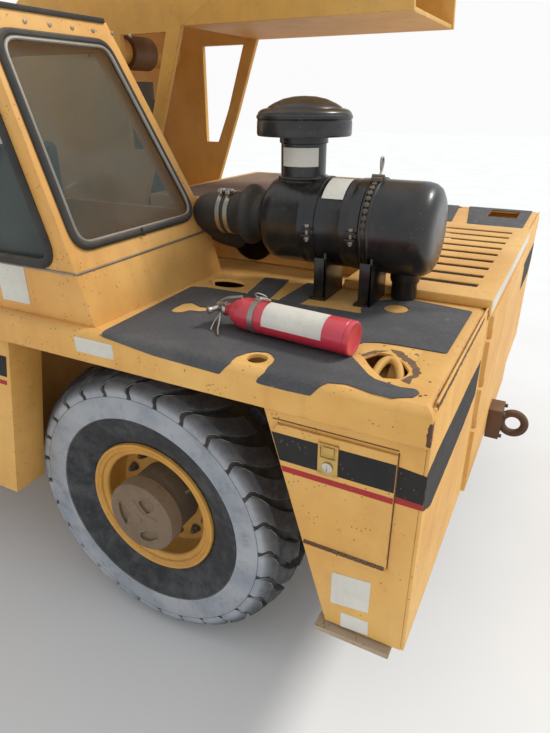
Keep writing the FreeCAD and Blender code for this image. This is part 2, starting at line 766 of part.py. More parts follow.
def front_axle_unit():
    """Front axle beam with its gear housing and the yokes of the kingpins."""
    x = st(S.front_axle)
    half = S.beam_width / 2
    yoke = S.kingpin_half - 120
    depth = S.beam_high - S.beam_low
    items = [block("beam", x - half, -40 - yoke, S.beam_low, S.beam_width, yoke * 2 + 80, depth)]
    ball = doc.addObject("Part::Sphere", "beam_ball")
    bind(ball, Radius=S.gear_housing - 30, Placement__Base__x=x, Placement__Base__z=S.tyre_radius)
    items.append(ball)
    items.append(rod("beam_nose", x - 180, 0, S.tyre_radius, 60, 180, "X"))
    ears = []
    for name, side in SIDES:
        items.append(block(f"beam_pad_{name}", x - 70, low_side(side, S.rail_outer - 75, S.rail_outer - 5),
                           S.beam_high, 140, 70, S.rail_low - S.beam_high))
        items.append(block(f"yoke_web_{name}", x - 50, low_side(side, yoke, yoke + 40), S.beam_low - 52,
                           100, 40, depth + 104))
        for level, height in (("low", S.beam_low - 52), ("high", S.beam_high + 27)):
            items.append(block(f"yoke_ear_{level}_{name}", x - 50, low_side(side, yoke, yoke + 170), height,
                               100, 170, 25))
        ears.append(rod(f"yoke_bore_{name}", x, side_point(side, S.kingpin_half), S.beam_low - 60,
                        S.kingpin_radius + S.run_clearance, S.beam_high - S.beam_low + 120))
    node("front_axle", minus("front_axle", join("front_axle_whole", *items), *ears))


def knuckle(name, side):
    """Steering knuckle with its kingpin, spindle and steering arm."""
    x = st(S.front_axle)
    y = side_point(side, S.kingpin_half)
    low = S.beam_low - 26
    high = S.beam_high + 26
    boss = rod(f"knuckle_boss_{name}", x, y, low, S.knuckle_radius, high - low)
    pin = rod(f"kingpin_{name}", x, y, S.beam_low - 52, S.kingpin_radius, S.beam_high - S.beam_low + 104)
    reach_out = S.track_half + S.front_hub_reach - 30
    spindle = rod(f"knuckle_spindle_{name}", x, low_side(side, S.kingpin_half, reach_out), S.tyre_radius,
                  S.front_spindle_radius, reach_out - S.kingpin_half, "Y")
    arm = block(f"knuckle_arm_{name}", x - S.arm_reach - 20,
                low_side(side, S.kingpin_half - 20, S.kingpin_half + 20), 480, S.arm_reach, 40, 24)
    node(f"knuckle_{name}", join(f"knuckle_{name}", boss, pin, spindle, arm))


def tie_rod():
    """Tie rod on the ends of the two steering arms."""
    x = st(S.front_axle) - S.arm_reach
    half = S.kingpin_half
    bar = rod("tie_bar", x, -half, 520, S.tie_radius, half * 2, "Y")
    pads = [
        block(f"tie_pad_{name}", x - 15, low_side(side, half - 25, half + 15), 504, 30, 40, 16)
        for name, side in SIDES
    ]
    node("tie_rod", join("tie_rod", bar, *pads))


def lugged_tyre(side):
    """A tyre of flat facets with slanted lugs on both shoulders, about the Y axis."""
    pitch = 2 * math.pi / S.lug_count.value
    snug = 1 / math.cos(pitch / 2)
    radius = S.tyre_radius.value
    half = S.tyre_width.value / 2
    rim = S.rim_radius.value
    edge = S.rim_width.value / 2
    floor = radius - S.lug_depth.value
    # Corners of one lug's stretch: radius, reach and place round the wheel in lug pitches.
    corners = {
        "bead": ((rim - 17.6) * snug, edge - 20, 0),
        "seat": ((rim + 0.6) * snug, edge - 13, 0),
        "wall": (radius - 142, half, 0),
        "heel": (radius - 57, half, 0),
        "toe": (radius - 57, half, 0.8),
        "notch": (radius - 74, half, 0.9),
        "edge_heel": (radius - 22, half - 33, 0.38),
        "edge_toe": (radius - 22, half - 33, 1.16),
        "end_heel": (radius, 28, 1),
        "end_toe": (radius, 28, 1.58),
        "floor_heel": (floor, 28, 1),
        "floor_toe": (floor, 28, 1.58),
        "middle": (floor, 0, 1.3),
    }
    # Facets of one stretch on one shoulder; a plus means the same corner of the next stretch.
    facets = (
        "bead bead+ seat+ seat",
        "seat seat+ wall+ wall",
        "wall wall+ heel+ notch toe heel",
        "heel toe edge_toe",
        "heel edge_toe edge_heel",
        "edge_heel edge_toe end_toe",
        "edge_heel end_toe end_heel",
        "notch heel+ edge_heel+",
        "notch edge_heel+ end_heel+",
        "notch end_heel+ floor_heel+",
        "notch edge_toe toe",
        "notch end_toe edge_toe",
        "notch floor_toe end_toe",
        "end_heel end_toe floor_toe floor_heel",
        "notch floor_heel+ floor_toe",
        "floor_heel floor_toe middle",
        "floor_toe middle+ middle",
        "floor_toe floor_heel+ middle+",
    )

    def place(name, number, shoulder):
        far, across, turn = corners[name.rstrip("+")]
        angle = (number + turn + name.count("+")) * pitch
        return V(side * far * math.sin(angle), shoulder * across, -far * math.cos(angle))

    def facet(points):
        return Part.Face(Part.makePolygon([*points, points[0]]))

    faces = []
    for number in range(int(S.lug_count.value)):
        for shoulder in (1, -1):
            for names in facets:
                faces.append(facet([place(name, number, shoulder) for name in names.split()]))
        seats = [("bead", 1), ("bead+", 1), ("bead+", -1), ("bead", -1)]
        faces.append(facet([place(name, number, shoulder) for name, shoulder in seats]))
    sewn = Part.Compound(faces)
    sewn.sewShape()
    body = Part.makeSolid(sewn.Shells[0])
    if body.Volume < 0:
        body.reverse()
    return body


def wheels():
    """Four lugged tyres and four rims, whose outline is radius and reach from the tyre's middle."""
    bead = S.rim_radius - 18
    wall = S.rim_wall
    flange = S.rim_radius
    edge = S.rim_width / 2
    well = bead - 14
    disc = S.disc_reach
    tyres = {side: lugged_tyre(side) for _, side in SIDES}
    for end, station in (("rear", S.rear_axle), ("front", S.front_axle)):
        hub = S.hub_radius if end == "rear" else S.front_hub_radius
        face = S.hub_reach if end == "rear" else S.front_hub_reach
        pin = S.spindle_radius if end == "rear" else S.front_spindle_radius
        depth = face - (70 if end == "rear" else 30)
        rim = [
            (flange, -edge),
            (flange, -edge + 12),
            (bead, -edge + 16),
            (bead, -edge + 60),
            (well, -edge + 75),
            (well, edge - 60),
            (bead, edge - 45),
            (bead, edge - 16),
            (flange, edge - 12),
            (flange, edge),
            (flange - wall, edge),
            (bead - wall, edge - 14),
            (well - wall - 3, edge - 18),
            (well - wall - 3, edge - 26),
            (well - wall, edge - 60),
            (well - wall, disc),
            (hub, disc + 4),
            (hub, face),
            (0, face),
            (0, depth + 0.5),
            (pin + S.run_clearance, depth + 0.5),
            (pin + S.run_clearance, disc - 20),
            (hub, disc - 20),
            (hub, disc - 14),
            (well - wall, disc - 12),
            (well - wall, -edge + 71),
            (bead - wall, -edge + 56),
            (bead - wall, -edge + 20),
            (flange - wall, -edge),
        ]
        for name, side in SIDES:
            place = (st(station), side_point(side, S.track_half), S.tyre_radius)
            tyre = doc.addObject("Part::Feature", f"tyre_{end}_{name}")
            tyre.Shape = tyres[side]
            bind(tyre, Placement__Base__x=place[0], Placement__Base__y=place[1], Placement__Base__z=place[2])
            node(f"tyre_{end}_{name}", tyre)
            node(f"rim_{end}_{name}", turned(f"rim_{end}_{name}", rim, *place, side))


def side_bodies():
    """Tank on the right, step box on the left, and the slanted panels ahead of the rear wheels."""
    under = S.deck_top - S.deck_plate
    outer = S.half_width - S.panel_inset
    right = block("side_tank", st(S.cab_step), -outer, S.body_low + 20,
                  S.front_axle - 737 - S.cab_step, 500, under - S.body_low - 20)
    left = block("step_box", st(S.cab_front + 20), 560, S.body_low + 60,
                 S.front_axle - 747 - S.cab_front, outer - 560, under - S.body_low - 60)
    arch_top = 1130 - (under - 990) * 0.2144
    arch_foot = 1130 + (990 - S.body_low) * 0.2144
    panels = []
    for name, side in SIDES:
        end = S.cab_step - 4 if side > 0 else S.cab_step
        face = [
            (st(arch_top), under),
            (st(arch_foot), S.body_low),
            (st(end), S.body_low),
            (st(end), under),
        ]
        panels.append(plate(f"arch_panel_{name}", "XZ", face, low_side(side, outer - 110, outer), 110))
    strip = block("door_post", st(S.cab_step - 4), S.cab_outer + 1, S.cab_floor,
                  S.cab_door_rear - S.cab_step - 8, outer - S.cab_outer - 1, under - S.cab_floor)
    rear_right = join("tank_right", right, panels[1])
    node("side_bodies", group("side_bodies", join("arch_left", panels[0], strip), rear_right, left))


def slewing():
    """Pedestal and slewing ring on the frame."""
    x = st(S.slew_station)
    pedestal = minus("pedestal", rod("pedestal_outer", x, 0, S.rail_high, S.ring_radius - 20,
                                     S.ring_low - S.rail_high),
                     rod("pedestal_inner", x, 0, S.rail_high, S.ring_radius - 40, S.ring_low - S.rail_high))
    ring = minus("ring", rod("ring_outer", x, 0, S.ring_low, S.ring_radius, S.ring_high - S.ring_low),
                 rod("ring_inner", x, 0, S.ring_low, S.ring_bore, S.ring_high - S.ring_low))
    node("slewing_ring", join("slewing_ring", pedestal, ring))


def turret():
    """Turret of two side plates on a round base, with the overhang that carries the boom's foot."""
    x = st(S.slew_station)
    base = S.ring_high + S.table_plate
    inner = S.cheek_outer - S.cheek_wall
    outline = [
        (st(S.belly_rear), S.belly_low),
        (st(S.belly_rear + 15), S.cheek_top - 150),
        (st(S.belly_rear + 65), S.cheek_top),
        (st(1250), S.cheek_top),
        (st(1650), 2020),
        (st(1900), 1850),
        (st(1900), 1500),
        (st(1860), base),
        (st(1330), base),
        (st(1180), 1550),
        (st(1090), S.belly_low),
    ]
    window = [
        (st(1150), 1785),
        (st(1345), 1785),
        (st(1345), 1420),
        (st(1285), 1420),
        (st(1228), 1550),
    ]
    rounds = [
        (st(S.foot_pin), S.boom_axis, S.foot_pin_radius),
        (st(S.lift_foot), S.lift_foot_height, S.lift_pin),
    ]
    items = [rod("table", x, 0, S.ring_high, S.table_radius, S.table_plate)]
    for name, side in SIDES:
        items.append(plate(f"cheek_{name}", "XZ", outline, low_side(side, inner, S.cheek_outer), S.cheek_wall,
                           [window], rounds))
        gap = S.boom_width / 2 + 3
        items.append(rod(f"foot_boss_{name}", st(S.foot_pin), low_side(side, gap, inner), S.boom_axis, 55,
                         inner - gap, "Y"))
        items.append(rod(f"lift_boss_{name}", st(S.lift_foot), low_side(side, 68, inner),
                         S.lift_foot_height, 45, inner - 68, "Y"))
    items.append(block("belly", st(S.belly_rear + 5), -inner, S.belly_low, 750, inner * 2, 12))
    items.append(block("back_web", st(1700), -inner, base, 16, inner * 2, 200))
    items.append(rod("foot_pin", st(S.foot_pin), -(S.cheek_outer + 15), S.boom_axis, S.foot_pin_radius,
                     (S.cheek_outer + 15) * 2, "Y"))
    items.append(rod("lift_foot_pin", st(S.lift_foot), -(S.cheek_outer + 10), S.lift_foot_height, S.lift_pin,
                     (S.cheek_outer + 10) * 2, "Y"))
    node("turret_frame", join("turret_frame", *items))
    motor = rod("swing_motor", st(1370), 150, base, 68, 420)
    cap = rod("swing_cap", st(1370), 150, base + 420, 50, 60)
    node("swing_drive", join("swing_drive", motor, cap))


def boom_tube(name, start, end, height, width):
    """A hollow box section along X about the boom's axis."""
    low = S.boom_axis - height / 2
    outer = slab(((-(width / 2), low), (width / 2, low + height)))
    wall = S.boom_wall
    inner = slab(((wall - width / 2, low + wall), (width / 2 - wall, low + height - wall)))
    return plate(name, "YZ", outer, st(start), end - start, [inner])


def boom():
    """Three boom sections, with the foot lugs, lift bracket, winch and head."""
    height = S.boom_height
    width = S.boom_width
    lug_x = st(S.foot_pin - 70)
    items = [boom_tube("boom_base_tube", S.boom_butt, S.boom_front, height, width)]
    for name, side in SIDES:
        lug = block(f"foot_lug_{name}", lug_x, low_side(side, width / 2 - 28, width / 2), S.boom_axis - 100,
                    S.boom_butt - S.foot_pin + 170, 28, 200)
        bore = rod(f"foot_bore_{name}", st(S.foot_pin), -width, S.boom_axis,
                   S.foot_pin_radius + S.run_clearance, width * 2, "Y")
        items.append(minus(f"foot_lug_cut_{name}", lug, bore))
    items.append(block("butt_plate", st(S.boom_butt), 28 - width / 2, S.boom_axis - 100, 12, width - 56, 200))
    under = S.boom_axis - height / 2
    items.append(block("base_pad", st(S.boom_front - 100), -60, under + S.boom_wall, 100, 120, S.boom_step))
    for name, side in SIDES:
        ear = block(f"lift_ear_{name}", st(S.lift_head - 60), low_side(side, 55, 75),
                    S.lift_head_height - 45, 120, 20, under - S.lift_head_height + 45)
        items.append(ear)
        items.append(rod(f"lift_head_pin_{name}", st(S.lift_head), low_side(side, 50, 90),
                         S.lift_head_height, S.lift_pin, 40, "Y"))
    drum = S.boom_axis + height / 2
    for name, side in SIDES:
        items.append(block(f"winch_cheek_{name}", st(860), low_side(side, 100, 115), drum, 260, 15, 235))
    items.append(rod("winch_drum", st(990), -100, drum + 130, 70, 200, "Y"))
    node("boom_base", join("boom_base", *items))

    step = S.boom_wall + S.boom_step
    mid_height = height - step * 2
    mid_width = width - step * 2
    mid_end = S.boom_front + S.section_reach
    mid = boom_tube("boom_mid_tube", S.boom_butt + 200, mid_end, mid_height, mid_width)
    mid_low = S.boom_axis - mid_height / 2
    mid_rear_pad = block("mid_rear_pad", st(S.boom_butt + 220), -60, mid_low - S.boom_step, 100, 120,
                         S.boom_step)
    mid_front_pad = block("mid_front_pad", st(mid_end - 100), -50, mid_low + S.boom_wall, 100, 100,
                          S.boom_step)
    node("boom_mid", join("boom_mid", mid, mid_rear_pad, mid_front_pad))

    tip_height = mid_height - step * 2
    tip_width = mid_width - step * 2
    tip_end = mid_end + S.section_reach
    tip = boom_tube("boom_tip_tube", S.boom_butt + 400, tip_end, tip_height, tip_width)
    low = S.boom_axis - tip_height / 2
    parts = [tip, block("tip_rear_pad", st(S.boom_butt + 420), -50, low - S.boom_step, 100, 100, S.boom_step)]
    head = [
        (st(tip_end - 60), low),
        (st(tip_end - 60), low + tip_height),
        (st(tip_end + 60), low + tip_height),
        (st(S.head_station + 60), S.head_height + 40),
        (st(S.head_station + 50), S.head_height - 50),
        (st(S.head_station - 50), S.head_height - 50),
    ]
    for name, side in SIDES:
        parts.append(plate(f"head_plate_{name}", "XZ", head, low_side(side, tip_width / 2, tip_width / 2 + 14),
                           14))
    reach_out = tip_width / 2 + 20
    parts.append(rod("head_pin", st(S.head_station), -reach_out, S.head_height, S.sheave_pin, reach_out * 2,
                     "Y"))
    parts.append(rod("head_sheave", st(S.head_station), -(S.sheave_width / 2), S.head_height,
                     S.sheave_radius, S.sheave_width, "Y"))
    node("boom_tip", join("boom_tip", *parts))


def hook():
    """Hook block on two falls of rope that go round the head sheave."""
    x = st(S.head_station)
    low = S.head_height - S.fall_length
    arm = S.sheave_radius + S.run_clearance + S.rope_radius
    falls = [
        rod(f"fall_{number}", x + arm * sign, 0, low, S.rope_radius, S.fall_length)
        for number, sign in enumerate((-1, 1))
    ]
    turn = doc.addObject("Part::Torus", "rope_turn")
    turn.Placement = FreeCAD.Placement(V(0, 0, 0), FreeCAD.Rotation(V(1, 0, 0), 90))
    bind(turn, Radius1=arm, Radius2=S.rope_radius, Placement__Base__x=x, Placement__Base__z=S.head_height)
    lower = block("rope_turn_low", x - arm - 20, -20, S.head_height - arm - 20, arm * 2 + 40, 40, arm + 20)
    upper = minus("rope_turn_top", turn, lower)
    wheel = rod("block_sheave", x, -(S.sheave_width / 2), low, S.sheave_radius + 4, S.sheave_width, "Y")
    cheeks = [
        rod(f"block_cheek_{name}", x, low_side(side, S.sheave_width / 2, S.sheave_width / 2 + 14), low,
            S.sheave_radius + 25, 14, "Y")
        for name, side in SIDES
    ]
    shank = rod("hook_shank", x, 0, low - 215, 22, 110)
    throat = doc.addObject("Part::Torus", "hook_throat")
    throat.Placement = FreeCAD.Placement(V(0, 0, 0), FreeCAD.Rotation(V(1, 0, 0), 90))
    bind(throat, Radius1=55, Radius2=20, Placement__Base__x=x, Placement__Base__z=low - 265)
    mouth = block("hook_mouth", x - 90, -30, low - 265, 75, 60, 90)
    node("hook_block", join("hook_block", *falls, upper, wheel, *cheeks, shank,
                            minus("hook_open", throat, mouth)))


def lift_cylinder():
    """Barrel and rod of the lift cylinder, from the turret's foot pin to the boom's lift pin."""
    run = S.lift_head - S.lift_foot
    rise = S.lift_head_height - S.lift_foot_height
    slope = bearing(rise, run)
    length = reach(run, rise)
    x, z = st(S.lift_foot), S.lift_foot_height

    def on_line(distance):
        return x + distance * cosine(slope), z + distance * sine(slope)

    bore = S.lift_pin + S.run_clearance
    eye = rod("barrel_eye", x, -66, z, 60, 132, "Y")
    start = on_line(dim(40))
    shell = tilted_rod("barrel_shell", start[0], 0, start[1], S.lift_barrel, length - 272, slope)
    room_start = on_line(dim(65))
    room = tilted_rod("barrel_room", room_start[0], 0, room_start[1], S.lift_bore, length - 327, slope)
    gland = tilted_rod("barrel_gland", room_start[0], 0, room_start[1], S.lift_rod + 1, length, slope)
    pin = rod("barrel_bore", x, -70, z, bore, 140, "Y")
    node("lift_barrel", minus("lift_barrel", join("barrel_whole", eye, shell), room, gland, pin))
    rod_start = on_line(dim(70))
    bar = tilted_rod("rod_bar", rod_start[0], 0, rod_start[1], S.lift_rod, length - 100, slope)
    piston = tilted_rod("rod_piston", rod_start[0], 0, rod_start[1], S.lift_bore - 0.5, 40, slope)
    head = rod("rod_eye", st(S.lift_head), -48, S.lift_head_height, 42, 96, "Y")
    node("lift_rod", join("lift_rod", bar, piston, head))


def cab():
    """Cab shell with its windows cut, the panes, the door and the fittings inside."""
    wall = S.cab_wall
    top = S.cab_roof
    slope = tangent(S.cab_slope)
    deck = S.deck_top

    def rear_at(height, inset=0):
        return S.cab_rear + (height - deck) * slope + inset

    skew = wall / cosine(S.cab_slope)
    outline = [
        (st(rear_at(deck)), deck),
        (st(rear_at(top)), top),
        (st(S.cab_brow), top),
        (st(S.cab_front), S.cab_sill),
        (st(S.cab_front), S.cab_floor),
        (st(S.cab_step), S.cab_floor),
        (st(S.cab_step), deck),
    ]
    front_slope = (S.cab_front - S.cab_brow) / (top - S.cab_sill)
    inner = [
        (st(rear_at(deck + wall, skew)), deck + wall),
        (st(rear_at(top - wall, skew)), top - wall),
        (st(S.cab_brow - wall * 1.02 + front_slope * wall), top - wall),
        (st(S.cab_front - wall), S.cab_sill),
        (st(S.cab_front - wall), S.cab_floor + wall),
        (st(S.cab_step + wall), S.cab_floor + wall),
        (st(S.cab_step + wall), deck + wall),
    ]
    width = S.cab_outer - S.cab_inner
    outer = plate("cab_outer", "XZ", outline, S.cab_inner, width)
    room = plate("cab_room", "XZ", inner, S.cab_inner + wall, width - wall * 2)
    lean = tangent(S.cab_lean)
    foot = S.cab_lean_foot

    def wedge(name, inset):
        edge = S.cab_inner + inset
        points = [
            (edge - 5, foot),
            (edge, foot),
            (edge + (top + 10 - foot) * lean, top + 10),
            (edge - 5, top + 10),
        ]
        return plate(name, "YZ", points, st(S.cab_rear - 10), S.cab_front - S.cab_rear + 20)

    body = minus("cab_solid", outer, wedge("cab_wedge_outer", 0))
    hollow = minus("cab_hollow", room, wedge("cab_wedge_inner", wall))
    sill = S.cab_lean_foot + 10
    header = top - 45
    rear_window = [
        (S.cab_inner + 45, sill),
        (S.cab_outer - 55, sill),
        (S.cab_outer - 55, header),
        (S.cab_inner + 45 + (header - sill) * lean, header),
    ]
    rear_cut = plate("rear_window_cut", "YZ", rear_window, st(S.cab_rear), 300)
    front_window = [
        (S.cab_inner + 50, S.cab_sill + 30),
        (S.cab_outer - 50, S.cab_sill + 30),
        (S.cab_outer - 50, header),
        (S.cab_inner + 50 + (header - sill) * lean, header),
        (S.cab_inner + 50, sill),
    ]
    front_cut = plate("front_window_cut", "YZ", front_window, st(S.cab_brow - 60), 200)
    quarter = [
        (st(rear_at(sill - 30, 50)), sill - 30),
        (st(S.cab_door_rear - 45), sill - 30),
        (st(S.cab_door_rear - 45), header - 40),
        (st(rear_at(header - 40, 50)), header - 40),
    ]
    quarter_cut = plate("quarter_window_cut", "XZ", quarter, S.cab_outer - wall - 5, wall + 10)
    side_window = [
        (st(rear_at(sill + 20, 70)), sill + 20),
        (st(S.cab_front - 120), sill + 20),
        (st(S.cab_brow - 60), header - 20),
        (st(rear_at(header - 20, 70)), header - 20),
    ]
    side_cut = plate("side_window_cut", "XZ", side_window, S.cab_inner - 10, 260)
    gap = S.door_gap
    door_hole = slab(((st(S.cab_door_rear - gap), S.cab_door_low - gap),
                      (st(S.cab_door_front + gap), S.cab_door_high + gap)))
    door_cut = plate("door_hole_cut", "XZ", door_hole, S.cab_outer - wall - 5, wall + 10)
    hinge_x = st(S.cab_door_front + 14)
    hinge_y = S.cab_outer + 12
    knuckles = []
    for number, height in enumerate((700, 1480)):
        knuckles.append(rod(f"cab_hinge_{number}", hinge_x, hinge_y, height, 9, 40))
        knuckles.append(block(f"cab_hinge_leaf_{number}", hinge_x - 4, S.cab_outer, height, 40, 8, 40))
    shell = minus("cab_walls", body, hollow, rear_cut, front_cut, quarter_cut, side_cut, door_cut)
    node("cab_shell", join("cab_shell", shell, *knuckles))

    def pane_slab(name, distance):
        at = wall / 2 + distance
        points = [
            (st(rear_at(deck, 0) + at / cosine(S.cab_slope)), deck),
            (st(rear_at(deck, 0) + (at + S.pane) / cosine(S.cab_slope)), deck),
            (st(rear_at(top, 0) + (at + S.pane) / cosine(S.cab_slope)), top),
            (st(rear_at(top, 0) + at / cosine(S.cab_slope)), top),
        ]
        return plate(name, "XZ", points, S.cab_inner, width)

    rear_pane = overlap("rear_pane", plate("rear_pane_cut", "YZ", rear_window, st(S.cab_rear), 300),
                        pane_slab("rear_pane_slab", -3))
    windscreen_slab = [
        (st(S.cab_front - 18), S.cab_sill),
        (st(S.cab_front - 12), S.cab_sill),
        (st(S.cab_brow - 12), top),
        (st(S.cab_brow - 18), top),
    ]
    front_pane = overlap("front_pane", plate("front_pane_cut", "YZ", front_window, st(S.cab_brow - 60), 200),
                         plate("front_pane_slab", "XZ", windscreen_slab, S.cab_inner, width))
    quarter_pane = plate("quarter_pane", "XZ", quarter, S.cab_outer - wall / 2 - 3, S.pane)
    lean_slab = [
        (S.cab_inner + 10 + (sill - foot) * lean, sill),
        (S.cab_inner + 16 + (sill - foot) * lean, sill),
        (S.cab_inner + 16 + (header - foot) * lean, header),
        (S.cab_inner + 10 + (header - foot) * lean, header),
    ]
    side_pane = overlap("side_pane", plate("side_pane_cut", "XZ", side_window, S.cab_inner - 10, 260),
                        plate("side_pane_slab", "YZ", lean_slab, st(S.cab_rear), S.cab_front - S.cab_rear))
    node("cab_glass", group("cab_glass", rear_pane, front_pane, quarter_pane, side_pane))

    leaf_hole = slab(((st(S.cab_door_rear + 50), sill - 30), (st(S.cab_door_front - 50), S.cab_door_high - 50)))
    leaf_outline = slab(((st(S.cab_door_rear), S.cab_door_low), (st(S.cab_door_front), S.cab_door_high)))
    leaf = plate("door_leaf", "XZ", leaf_outline, S.cab_outer - wall, wall, [leaf_hole])
    hinges = []
    for number, height in enumerate((740.5, 1440.5)):
        hinges.append(rod(f"door_hinge_{number}", hinge_x, hinge_y, height, 9, 39))
        hinges.append(block(f"door_hinge_leaf_{number}", hinge_x - 44, S.cab_outer, height, 42, 8, 39))
    handle = block("door_handle", st(S.cab_door_rear + 30), S.cab_outer, 1080, 90, 22, 24)
    node("cab_door", join("cab_door", leaf, *hinges, handle))
    node("door_glass", plate("door_glass", "XZ", leaf_hole, S.cab_outer - wall / 2 - 3, S.pane))


def cab_fittings():
    """Seat, dash and steering wheel."""
    seat_side = S.cab_inner + 130
    base = block("seat_base", st(S.cab_step + 60), seat_side, S.cab_floor + S.cab_wall, 340,
                 S.seat_width, 300)
    cushion = block("seat_cushion", st(S.cab_step + 55), seat_side - 10, S.cab_floor + S.cab_wall + 300, 420,
                    S.seat_width + 20, 110)
    back = block("seat_back", st(S.cab_step - 40), seat_side, S.deck_top + S.cab_wall, 90,
                 S.seat_width, 350)
    node("seat", group("seat", cushion, back))
    box = block("dash_box", st(S.cab_front - S.cab_wall - 130), S.cab_inner + S.cab_wall,
                S.cab_floor + S.cab_wall, 130, S.cab_outer - S.cab_inner - S.cab_wall * 2, 560)
    grip = S.seat_width / 2 - 20
    wheel_side = seat_side + grip + 10
    column = tilted_rod("column", st(S.cab_front - 120), wheel_side, 1080, 20, 140, dim(130))
    node("cab_fittings", group("cab_fittings", base, join("dash", box, column)))
    x = st(S.cab_front - 217)
    ring = doc.addObject("Part::Torus", "steering_ring")
    ring.Placement = FreeCAD.Placement(V(0, 0, 0), FreeCAD.Rotation(V(0, 1, 0), -40))
    bind(ring, Radius1=grip, Radius2=13, Placement__Base__x=x, Placement__Base__y=wheel_side,
         Placement__Base__z=1195.5)
    spoke = rod("steering_spoke", x, wheel_side - grip, 1195.5, 10, grip * 2, "Y")
    node("steering_wheel", join("steering_wheel", ring, spoke))


def air_intake():
    """Air cleaner with its inlet stack and cap on two legs, and the elbow to the engine."""
    x0, y, z = st(S.canister_rear), S.canister_side, S.canister_height
    length = S.canister_front - S.canister_rear
    canister = rod("canister", x0, y, z, S.canister_radius, length, "X")
    outlet = rod("canister_outlet", st(S.canister_front), y, z, S.pipe_radius, 45, "X")
    stack = rod("stack", st(S.stack_station), y, z, S.stack_radius, S.cap_low - z)
    skirt = rod("cap_skirt", st(S.stack_station), y, S.cap_low, S.cap_radius, 42)
    dome = doc.addObject("Part::Cone", "cap_dome")
    bind(dome, Radius1=S.cap_radius, Radius2=S.cap_radius / 3, Height=S.cap_high - S.cap_low - 42,
         Placement__Base__x=st(S.stack_station), Placement__Base__y=y, Placement__Base__z=S.cap_low + 42)
    legs = [
        block(f"canister_leg_{number}", st(station), S.grille_half + 10, S.deck_top, 12, 150,
              z - S.deck_top - 60)
        for number, station in enumerate((276, 402))
    ]
    node("air_cleaner", join("air_cleaner", canister, outlet, stack, skirt, dome, *legs))
    node("intake_pipe", elbow())


def elbow():
    """The intake elbow: straight from the air cleaner, then down and in to the hood's port."""
    radius = S.pipe_radius.value
    start = V(st(S.canister_front + 45).value, S.canister_side.value, S.canister_height.value)
    corner = V(st(770).value, start.y, start.z)
    end = V(corner.x, S.hood_half.value - 10, 1175)
    first = (start - corner).normalize()
    second = (end - corner).normalize()
    turn = 70.0
    on_first = corner + first * turn
    on_second = corner + second * turn
    middle_way = (first + second).normalize()
    half_angle = first.getAngle(second) / 2
    bend_radius = turn * math.tan(half_angle)
    middle = corner + middle_way * (math.hypot(turn, bend_radius) - bend_radius)
    edges = [
        Part.LineSegment(start, on_first).toShape(),
        Part.Arc(on_first, middle, on_second).toShape(),
        Part.LineSegment(on_second, end).toShape(),
    ]
    path = Part.Wire(edges)
    ring = Part.Wire(Part.Circle(start, first, radius).toShape())
    item = doc.addObject("Part::Feature", "intake_pipe")
    item.Shape = path.makePipeShell([ring], True, True)
    return item


def small_parts():
    """Tow hook, lamps and the fire extinguisher that lies on the deck."""
    base = block("tow_base", st(-60), -45, 455, 48, 90, 115)
    ring = doc.addObject("Part::Torus", "tow_ring")
    ring.Placement = FreeCAD.Placement(V(0, 0, 0), FreeCAD.Rotation(V(1, 0, 0), 90))
    bind(ring, Radius1=40, Radius2=14, Placement__Base__x=st(-98), Placement__Base__z=511)
    node("tow_hook", join("tow_hook", base, ring))
    lamps = [
        rod(f"lamp_{name}", st(S.body_length), side_point(side, 700), 860, 70, 45, "X")
        for name, side in SIDES
    ]
    node("head_lamps", group("head_lamps", *lamps))
    lying = S.deck_top + S.bottle_radius
    bottle = rod("bottle", st(195), S.bottle_side, lying, S.bottle_radius, S.bottle_length, "X")
    neck = rod("bottle_neck", st(195 + S.bottle_length), S.bottle_side, lying, 16, 60, "X")
    node("extinguisher", join("extinguisher", bottle, neck))


def build():
    frame_rails()
    decks()
    rear_plate()
    for end in ("rear", "front"):
        stabiliser_boxes(end)
        stabiliser_legs(end)
    for name, side in SIDES:
        box_door(name, side)
        knuckle(name, side)
    hood()
    power()
    rear_axle_unit()
    front_axle_unit()
    tie_rod()
    wheels()
    side_bodies()
    slewing()
    turret()
    boom()
    hook()
    lift_cylinder()
    cab()
    cab_fittings()
    air_intake()
    small_parts()


build()
doc.recompute()
for item in doc.Objects:
    if "Invalid" in item.State or "Error" in item.State:
        raise RuntimeError(f"{item.Name}: {item.State}")
os.makedirs("parts", exist_ok=True)
for item in NODES:
    if item.Shape.isNull() or not item.Shape.isValid():
        raise RuntimeError(f"{item.Label}: no valid shape")
for item in NODES:
    item.Shape.exportStep(f"parts/{item.Label}.step")
box = FreeCAD.BoundBox()
for item in NODES:
    box.add(item.Shape.BoundBox)
print(len(NODES), "nodes,", box)
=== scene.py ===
"""Looks of a carry deck crane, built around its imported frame. Sizes are in millimetres unless they say otherwise."""

import json
import logging
import math
import random
from contextlib import contextmanager
from dataclasses import dataclass
from enum import Enum
from typing import Callable, Iterator, Sequence

import bpy
from mathutils import Matrix, Vector


